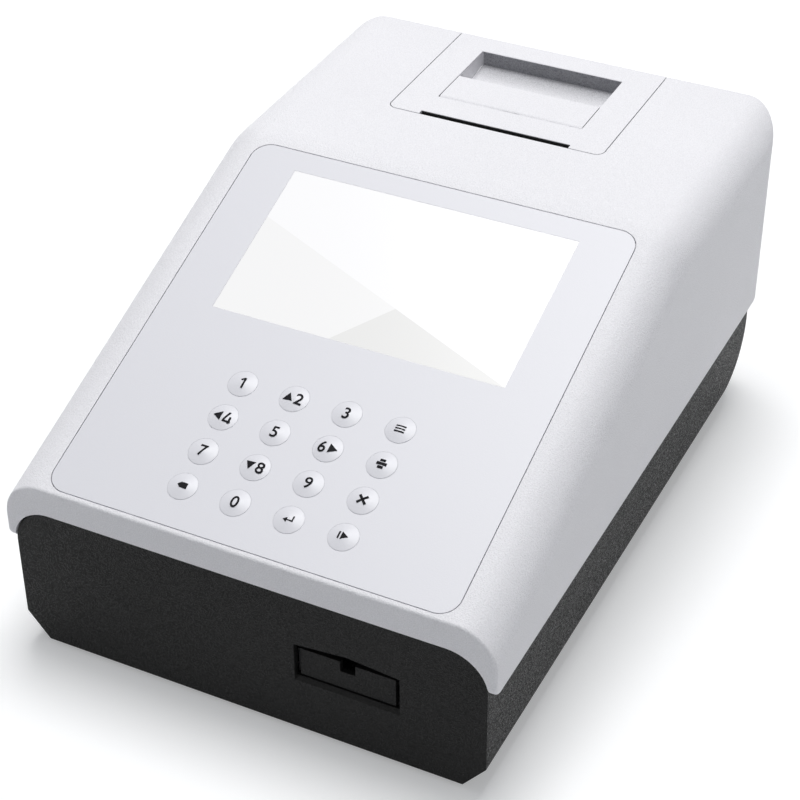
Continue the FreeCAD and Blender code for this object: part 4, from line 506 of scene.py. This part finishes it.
def rolled_paper():
    """A roll of thermal paper: smooth outside, its wound layers as rings on the ends."""
    looks = bpy.context.scene.analyzer_inner
    low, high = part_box("paper_roll")
    centre = (low + high) / 2
    material, shading, shader = new_material("rolled_paper")
    offset = shading.add("ShaderNodeVectorMath", operation="SUBTRACT")
    shading.join(shading.add("ShaderNodeTexCoord").outputs["Object"], offset.inputs[0])
    offset.inputs[1].default_value = centre
    flat = shading.add("ShaderNodeVectorMath", operation="MULTIPLY")
    shading.join(offset.outputs[0], flat.inputs[0])
    flat.inputs[1].default_value = (0.0, 1.0, 1.0)
    radius = shading.add("ShaderNodeVectorMath", operation="LENGTH")
    shading.join(flat.outputs[0], radius.inputs[0])
    layers = shading.add("ShaderNodeTexNoise", noise_dimensions="1D")
    shading.join(radius.outputs["Value"], layers.inputs["W"])
    layers.inputs["Scale"].default_value = LAYER_SCALE
    shade = shading.sum("ADD", shading.sum("MULTIPLY", layers.outputs["Fac"], LAYER_SHARE), LAYER_LEAST)
    scaled = shading.add("ShaderNodeVectorMath", operation="SCALE")
    scaled.inputs[0].default_value = looks.paper
    shading.join(shade, scaled.inputs["Scale"])
    shading.join(scaled.outputs[0], shader.inputs["Base Color"])
    shader.inputs["Roughness"].default_value = PAPER_ROUGHNESS
    return material


def circuit_board():
    """Solder mask with a grid of lighter tracks under it."""
    looks = bpy.context.scene.analyzer_inner
    material, shading, shader = new_material("circuit_board")
    place = shading.add("ShaderNodeTexCoord").outputs["Object"]
    tracks = shading.add("ShaderNodeTexBrick")
    shading.join(place, tracks.inputs["Vector"])
    tracks.inputs["Scale"].default_value = TRACK_SCALE
    tracks.inputs["Mortar Size"].default_value = TRACK_WIDTH
    lighter = tuple(channel * TRACK_GAIN for channel in looks.board)
    tracks.inputs["Color1"].default_value = opaque(looks.board)
    tracks.inputs["Color2"].default_value = opaque(looks.board)
    tracks.inputs["Mortar"].default_value = opaque(lighter)
    shading.join(tracks.outputs["Color"], shader.inputs["Base Color"])
    shader.inputs["Roughness"].default_value = BOARD_ROUGHNESS
    soften_and_bump(shading, shader, tracks.outputs["Fac"], TRACK_BUMP, TRACK_DEPTH)
    return material


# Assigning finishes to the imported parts

def dress(material, *names):
    """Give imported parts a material. Their shapes stay as they are."""
    for name in names:
        mesh = NODES[name].data
        mesh.materials.clear()
        mesh.materials.append(material)


def keys_in_order():
    return [name for name in NODES if name.startswith("key_")]


# Legends on the keys

class KeyTop:
    """Where a key's dome lies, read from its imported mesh, and the slope's axes."""

    def __init__(self, node):
        press = Vector(JOINTS[node + "_press"]["axis"]).normalized()
        self.out = -press
        self.across = Vector((1, 0, 0))
        self.up = self.out.cross(self.across)
        points = [vertex.co for vertex in NODES[node].data.vertices]
        heights = [point.dot(self.out) for point in points]
        self.crown = max(heights)
        top = [point for point, height in zip(points, heights) if self.crown - height < CROWN_BAND]
        self.centre = sum(top, Vector()) / len(top)
        low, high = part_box(node)
        self.radius = (high.x - low.x) / 2
        edge = self.radius * RIM_SHARE
        rim = [height for point, height in zip(points, heights) if self.reach(point) > edge]
        self.flat = max(self.reach(point) for point in top)
        run = self.radius - self.flat
        rise = self.crown - max(rim)
        self.dome = (run * run + rise * rise) / (2 * rise)

    def reach(self, point):
        offset = point - self.centre
        return (offset - self.out * offset.dot(self.out)).length

    def drop(self, distance):
        run = max(distance - self.flat, 0.0)
        return self.dome - math.sqrt(max(self.dome * self.dome - run * run, 0.0))

    def place(self, x, y, lift):
        return self.centre + self.across * x + self.up * y + self.out * (lift - self.drop(math.hypot(x, y)))


def turned(points, quarter_turns):
    for _ in range(quarter_turns):
        points = [(-y, x) for x, y in points]
    return points


def arrow(x, size, quarter_turns):
    """A solid triangle. It points up, and each quarter turn takes it anticlockwise."""
    half = size / 2
    foot = -half * 0.8
    tip = half * 0.9
    points = turned([(-half, foot), (half, foot), (0.0, tip)], quarter_turns)
    return [[(x + px, py) for px, py in points]]


def block(left, low, right, high):
    return [(left, low), (right, low), (right, high), (left, high)]


def figure_one(x, height):
    """A one with a flag, because the plain typeface draws it as a bar."""
    half = height / 2
    thick = height * 0.17
    stem = x + height * 0.12
    left = stem - thick / 2
    right = stem + thick / 2
    flag_top = (stem - height * 0.36, height * 0.28)
    flag_foot = (stem - height * 0.28, height * 0.16)
    return [[(left, -half), (right, -half), (right, half), (left, half), flag_top, flag_foot,
             (left, height * 0.3)]]


def figure_four(x, height):
    """A four with an open middle."""
    half = height / 2
    thick = height * 0.16
    left = x - height * 0.36
    stem = x + height * 0.12
    low = -height * 0.28
    return [
        [(left, low), (left + thick * 1.05, low), (stem - thick * 0.2, half), (stem - thick * 1.3, half)],
        block(left, low - thick, stem, low),
        block(stem, -half, stem + thick, height * 0.1),
        block(stem + thick, low - thick, stem + height * 0.22, low),
    ]


def bars(size):
    """Three lines, for the menu."""
    half = size / 2
    thick = size * 0.14
    step = size * 0.3
    return [block(-half, level - thick / 2, half, level + thick / 2) for level in (-step, 0.0, step)]


def sheet_and_printer(size):
    """A printer with a sheet above it and one below it."""
    half = size / 2
    body = size * 0.16
    sheet = half * 0.55
    gap = size * 0.23
    return [block(-half, -body, half, body), block(-sheet, gap, sheet, half),
            block(-sheet, -half, sheet, -gap)]


def cross(size):
    half = size * 0.42
    thick = size * 0.09
    arms = []
    for side in (-1, 1):
        arms.append([(-half - thick, side * (-half + thick)), (-half + thick, side * (-half - thick)),
                     (half + thick, side * (half - thick)), (half - thick, side * (half + thick))])
    return arms


def rubout(size):
    """A tag that points left, for clearing."""
    half = size / 2
    tall = size * 0.3
    shoulder = -half * 0.35
    return [[(-half, 0.0), (shoulder, -tall), (half, -tall), (half, tall), (shoulder, tall)]]


def return_arrow(size):
    """A bent arrow that points left, for entering."""
    half = size / 2
    thick = size * 0.13
    level = -size * 0.15
    neck = -half * 0.2
    barb = size * 0.26
    return [
        [(-half, level), (neck, level - barb), (neck, level + barb)],
        block(neck, level - thick / 2, half, level + thick / 2),
        block(half - thick, level + thick / 2, half, size * 0.38),
    ]


def play(size):
    """A bar and a triangle that points right, for starting."""
    half = size / 2
    tall = size * 0.36
    neck = -half * 0.35
    barb = size * 0.4
    return [block(-half, -tall, -half * 0.68, tall), [(neck, -barb), (half, 0.0), (neck, barb)]]


def digit_mesh(text, height, centre_x):
    """The flat mesh of one digit, standing upright and centred."""
    curve = bpy.data.curves.new("digit_outline", "FONT")
    curve.body = text
    curve.size = height / DIGIT_SHARE
    curve.offset = height * DIGIT_WEIGHT
    curve.align_x = "CENTER"
    curve.align_y = "CENTER"
    curve.resolution_u = DIGIT_STEPS
    holder = bpy.data.objects.new("digit_outline", curve)
    bpy.context.collection.objects.link(holder)
    bpy.context.view_layer.update()
    mesh = bpy.data.meshes.new_from_object(holder.evaluated_get(bpy.context.evaluated_depsgraph_get()))
    bpy.data.objects.remove(holder)
    bpy.data.curves.remove(curve)
    xs = [vertex.co.x for vertex in mesh.vertices]
    ys = [vertex.co.y for vertex in mesh.vertices]
    shift = Vector((centre_x - (min(xs) + max(xs)) / 2, -(min(ys) + max(ys)) / 2, 0.0))
    mesh.transform(Matrix.Translation(shift))
    return mesh


def skirt(node):
    """The film between a key's dome and the overlay, which moves with the key."""
    looks = bpy.context.scene.analyzer_panel
    top = KeyTop(node)
    sheet = NODES["panel_overlay"].data.vertices
    face = max(vertex.co.dot(top.out) for vertex in sheet)
    outer = min(top.reach(vertex.co) for vertex in sheet) - looks.skirt_gap
    inner = top.radius
    work = bmesh.new()
    rings = []
    for radius, lift in ((inner, 0.0), (outer, 0.0), (outer, -looks.skirt), (inner, -looks.skirt)):
        level = face - looks.skirt_gap + lift - top.crown
        ring = []
        for index in range(SKIRT_SIDES):
            angle = math.tau * index / SKIRT_SIDES
            reach = top.across * math.cos(angle) + top.up * math.sin(angle)
            ring.append(work.verts.new(top.centre + reach * radius + top.out * level))
        rings.append(ring)
    for first, second in zip(rings, rings[1:] + rings[:1]):
        for index in range(SKIRT_SIDES):
            following = (index + 1) % SKIRT_SIDES
            work.faces.new((first[index], first[following], second[following], second[index]))
    bmesh.ops.recalc_face_normals(work, faces=work.faces)
    mesh = bpy.data.meshes.new(node + "_skirt")
    work.to_mesh(mesh)
    work.free()
    mesh.materials.append(bpy.data.materials["overlay_film"])
    piece = bpy.data.objects.new(node + "_skirt", mesh)
    bpy.context.scene.collection.objects.link(piece)
    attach(piece, BODY_OF[node])


def legend(node, digit=None, digit_x=0.0, shapes=()):
    """Print a digit and shapes on a key, as a thin skin that follows its dome."""
    looks = bpy.context.scene.analyzer_panel
    top = KeyTop(node)
    work = bmesh.new()
    if digit:
        flat = digit_mesh(digit, looks.digit, digit_x)
        work.from_mesh(flat)
        bpy.data.meshes.remove(flat)
    for points in shapes:
        work.faces.new([work.verts.new((x, y, 0.0)) for x, y in points])
    bmesh.ops.remove_doubles(work, verts=work.verts, dist=WELD)
    for axis in (Vector((1, 0, 0)), Vector((0, 1, 0))):
        reach = max(abs(vertex.co.dot(axis)) for vertex in work.verts)
        count = int(reach / looks.print_step)
        for index in range(-count, count + 1):
            cut = axis * (index * looks.print_step)
            geometry = work.verts[:] + work.edges[:] + work.faces[:]
            bmesh.ops.bisect_plane(work, geom=geometry, plane_co=cut, plane_no=axis)
    bmesh.ops.recalc_face_normals(work, faces=work.faces)
    if work.faces and work.faces[:][0].normal.z < 0:
        bmesh.ops.reverse_faces(work, faces=work.faces)
    skin = bmesh.ops.extrude_face_region(work, geom=work.faces[:])
    raised = {item for item in skin["geom"] if isinstance(item, bmesh.types.BMVert)}
    for vertex in work.verts:
        lift = looks.print_lift if vertex in raised else -looks.print_lift
        vertex.co = top.place(vertex.co.x, vertex.co.y, lift)
    bmesh.ops.recalc_face_normals(work, faces=work.faces)
    mesh = bpy.data.meshes.new(node + "_legend")
    work.to_mesh(mesh)
    work.free()
    mesh.materials.append(bpy.data.materials["legend_ink"])
    piece = bpy.data.objects.new(node + "_legend", mesh)
    bpy.context.scene.collection.objects.link(piece)
    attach(piece, BODY_OF[node])


# Operators

class DressCase(bpy.types.Operator):
    """Finish the cover, lid, flap, tear bar, base, strip tray and feet"""
    bl_idname = "analyzer.dress_case"
    bl_label = "Case"

    def execute(self, context):
        looks = context.scene.analyzer_case
        shell = moulded("shell_white", looks.shell, looks.shell_roughness, SHELL_CONTRAST, looks.edge,
                        bump=FULL_BUMP)
        base = moulded("base_charcoal", looks.base, looks.base_roughness, BASE_CONTRAST, looks.edge,
                       bump=FULL_BUMP, gloss=BASE_GLOSS)
        dress(shell, "top_cover", "latch_flap", "tear_bar")
        dress(lid_shell(), "printer_lid")
        dress(base, "base_shell", "strip_tray")
        dress(plain("foot_rubber", looks.rubber), "rubber_feet")
        return {"FINISHED"}


class DressPanel(bpy.types.Operator):
    """Finish the overlay, the display and the keys, and close the gap round each key"""
    bl_idname = "analyzer.dress_panel"
    bl_label = "Control panel"

    def execute(self, context):
        looks = context.scene.analyzer_panel
        dress(plain("overlay_film", looks.overlay, edge=OVERLAY_EDGE), "panel_overlay")
        dress(plain("key_caps", looks.key), *keys_in_order())
        dress(lit_screen(), "display_window")
        for node in keys_in_order():
            skirt(node)
        return {"FINISHED"}


class PrintLegends(bpy.types.Operator):
    """Print the digits, arrows and function marks on the keys"""
    bl_idname = "analyzer.print_legends"
    bl_label = "Key legends"

    def execute(self, context):
        looks = context.scene.analyzer_panel
        plain("legend_ink", looks.ink, gloss=INK_GLOSS)
        size = looks.mark
        tall = looks.digit
        beside = tall * BESIDE_SHARE
        for digit in ("0", "3", "5", "7", "9"):
            legend("key_" + digit, digit)
        legend("key_1", shapes=figure_one(0.0, tall))
        legend("key_2", "2", beside, arrow(-beside, size, 0))
        legend("key_4", shapes=figure_four(beside, tall) + arrow(-beside, size, 1))
        legend("key_8", "8", beside, arrow(-beside, size, 2))
        legend("key_6", "6", -beside, arrow(beside, size, 3))
        legend("key_menu", shapes=bars(size))
        legend("key_print", shapes=sheet_and_printer(size))
        legend("key_cancel", shapes=cross(size))
        legend("key_clear", shapes=rubout(size))
        legend("key_enter", shapes=return_arrow(size))
        legend("key_start", shapes=play(size))
        return {"FINISHED"}


class DressFittings(bpy.types.Operator):
    """Finish the gears, the dark inner mouldings and the metal parts"""
    bl_idname = "analyzer.dress_fittings"
    bl_label = "Drives and fittings"

    def execute(self, context):
        looks = context.scene.analyzer_inner
        dress(plain("nylon", looks.nylon),
              "tray_insert", "tray_rack", "tray_pinion", "platen_bushes", "platen_gear", "drive_gear",
              "motor_gear")
        dress(plain("dark_plastic", looks.dark),
              "tray_guide", "optical_head", "lcd_module", "tact_switches", "switch_housing", "rocker_key",
              "power_inlet")
        dress(metal("steel", looks.steel, STEEL_ROUGHNESS),
              "tray_motor", "motor_bracket", "case_screws", "shelf_screws", "lid_hinge_pin",
              "printer_frame", "head_springs", "printer_motor", "latch_pin", "latch_spring",
              "platen_shaft", "usb_sockets", "serial_socket")
        return {"FINISHED"}


class DressPrinter(bpy.types.Operator):
    """Finish the printer, its paper and the circuit boards"""
    bl_idname = "analyzer.dress_printer"
    bl_label = "Printer and boards"

    def execute(self, context):
        case = context.scene.analyzer_case
        looks = context.scene.analyzer_inner
        dress(plain("grey_plastic", looks.grey), "paper_trough")
        dress(plain("glazed_head", looks.dark), "thermal_head")
        dress(plain("platen_rubber", case.rubber), "platen_roller")
        dress(rolled_paper(), "paper_roll")
        dress(circuit_board(), "main_board", "rear_board", "keypad_board", "sensor_board")
        return {"FINISHED"}


def area_lamp(name, offset, aim, size, power):
    """A square lamp that hangs at an offset from the point it lights."""
    light = bpy.data.lights.new(name, "AREA")
    light.shape = "SQUARE"
    light.size = size
    light.energy = power
    lamp = bpy.data.objects.new(name, light)
    lamp.location = aim + offset
    lamp.rotation_euler = (-offset).to_track_quat("-Z", "Y").to_euler()
    bpy.context.scene.collection.objects.link(lamp)


def seen_directly(shading):
    """One where the camera, or a reflection or glass, looks; nought for light that bounces."""
    path = shading.add("ShaderNodeLightPath")
    mirrored = shading.sum("MAXIMUM", path.outputs["Is Glossy Ray"], path.outputs["Is Transmission Ray"])
    return shading.sum("MAXIMUM", path.outputs["Is Camera Ray"], mirrored)


def floor_material(studio):
    """White to the camera far from the object, with the object's soft shadow near it."""
    material, shading, shader = new_material("studio_floor")
    shader.inputs["Base Color"].default_value = opaque(studio.floor)
    shader.inputs["Roughness"].default_value = FLOOR_ROUGHNESS
    shader.inputs["Specular IOR Level"].default_value = 0.0
    shader.inputs["Emission Color"].default_value = WHITE
    distance = shading.add("ShaderNodeVectorMath", operation="LENGTH")
    shading.join(shading.add("ShaderNodeTexCoord").outputs["Object"], distance.inputs[0])
    fade = shading.add("ShaderNodeMapRange", interpolation_type="SMOOTHSTEP")
    shading.join(distance.outputs["Value"], fade.inputs["Value"])
    fade.inputs["From Min"].default_value = studio.floor_near
    fade.inputs["From Max"].default_value = studio.floor_far
    fade.inputs["To Min"].default_value = studio.floor_lift
    fade.inputs["To Max"].default_value = 1.0
    strength = shading.sum("MULTIPLY", seen_directly(shading), fade.outputs["Result"])
    shading.join(strength, shader.inputs["Emission Strength"])
    return material


class SetStage(bpy.types.Operator):
    """Build the floor, the lamps and the camera"""
    bl_idname = "analyzer.set_stage"
    bl_label = "Studio"

    def execute(self, context):
        studio = context.scene.analyzer_studio
        scene = context.scene
        size = cad_high - cad_low
        centre = (cad_low + cad_high) / 2
        work = bmesh.new()
        bmesh.ops.create_grid(work, x_segments=FLOOR_CELLS, y_segments=FLOOR_CELLS, size=size.y * FLOOR_SPAN)
        mesh = bpy.data.meshes.new("floor")
        work.to_mesh(mesh)
        work.free()
        mesh.materials.append(floor_material(studio))
        floor = bpy.data.objects.new("floor", mesh)
        floor.location.z = cad_low.z
        scene.collection.objects.link(floor)
        area_lamp("key_lamp", Vector(studio.key_place), centre, studio.key_size, studio.key_light)
        area_lamp("side_lamp", Vector(studio.side_place), centre, studio.side_size, studio.side_light)
        world = bpy.data.worlds.new("studio_sky")
        world.use_nodes = True
        background = world.node_tree.nodes["Background"]
        shading = Shading(world.node_tree)
        direct = seen_directly(shading)
        beyond = shading.sum("MULTIPLY", direct, 1.0 - studio.sky)
        shading.join(shading.sum("ADD", beyond, studio.sky), background.inputs["Strength"])
        tint = shading.blend(direct, opaque(studio.sky_tint), WHITE)
        shading.join(tint, background.inputs["Color"])
        scene.world = world
        camera_data = bpy.data.cameras.new("camera")
        camera_data.lens = studio.lens
        camera_data.sensor_width = SENSOR_WIDTH
        camera = bpy.data.objects.new("camera", camera_data)
        camera.location = studio.camera_place
        camera.rotation_euler = studio.camera_turn
        scene.collection.objects.link(camera)
        scene.camera = camera
        scene.view_settings.view_transform = "Standard"
        return {"FINISHED"}


class AnalyzerPanel(bpy.types.Panel):
    """Lists the analyzer's pieces in the sidebar"""
    bl_idname = "VIEW3D_PT_analyzer"
    bl_label = "Analyzer"
    bl_space_type = "VIEW_3D"
    bl_region_type = "UI"
    bl_category = "Analyzer"

    def draw(self, context):
        for operator in OPERATORS:
            self.layout.operator(operator.bl_idname)
        for name in GROUPS:
            box = self.layout.box()
            looks = getattr(context.scene, name)
            for field in looks.bl_rna.properties:
                if not field.is_readonly and field.identifier != "name":
                    box.prop(looks, field.identifier)


GROUPS = {
    "analyzer_case": AnalyzerCaseLooks,
    "analyzer_panel": AnalyzerPanelLooks,
    "analyzer_inner": AnalyzerInnerLooks,
    "analyzer_studio": AnalyzerStudio,
}
OPERATORS = (DressCase, DressPanel, PrintLegends, DressFittings, DressPrinter, SetStage)


def register():
    for group in GROUPS.values():
        bpy.utils.register_class(group)
    for operator in OPERATORS:
        bpy.utils.register_class(operator)
    bpy.utils.register_class(AnalyzerPanel)
    for name, group in GROUPS.items():
        setattr(bpy.types.Scene, name, PointerProperty(type=group))


def unregister():
    for name in GROUPS:
        delattr(bpy.types.Scene, name)
    bpy.utils.unregister_class(AnalyzerPanel)
    for operator in reversed(OPERATORS):
        bpy.utils.unregister_class(operator)
    for group in reversed(tuple(GROUPS.values())):
        bpy.utils.unregister_class(group)


def clear_scene():
    """Remove the start-up objects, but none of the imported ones."""
    kept = set(frame["nodes"].values()) | set(frame["bodies"].values())
    for thing in list(bpy.data.objects):
        if thing not in kept:
            bpy.data.objects.remove(thing)


def main():
    register()
    clear_scene()
    moulded_grain_group()
    brushed_lines_group()
    bpy.ops.analyzer.dress_case()
    bpy.ops.analyzer.dress_panel()
    bpy.ops.analyzer.print_legends()
    bpy.ops.analyzer.dress_fittings()
    bpy.ops.analyzer.dress_printer()
    bpy.ops.analyzer.set_stage()


if __name__ == "__main__":
    main()
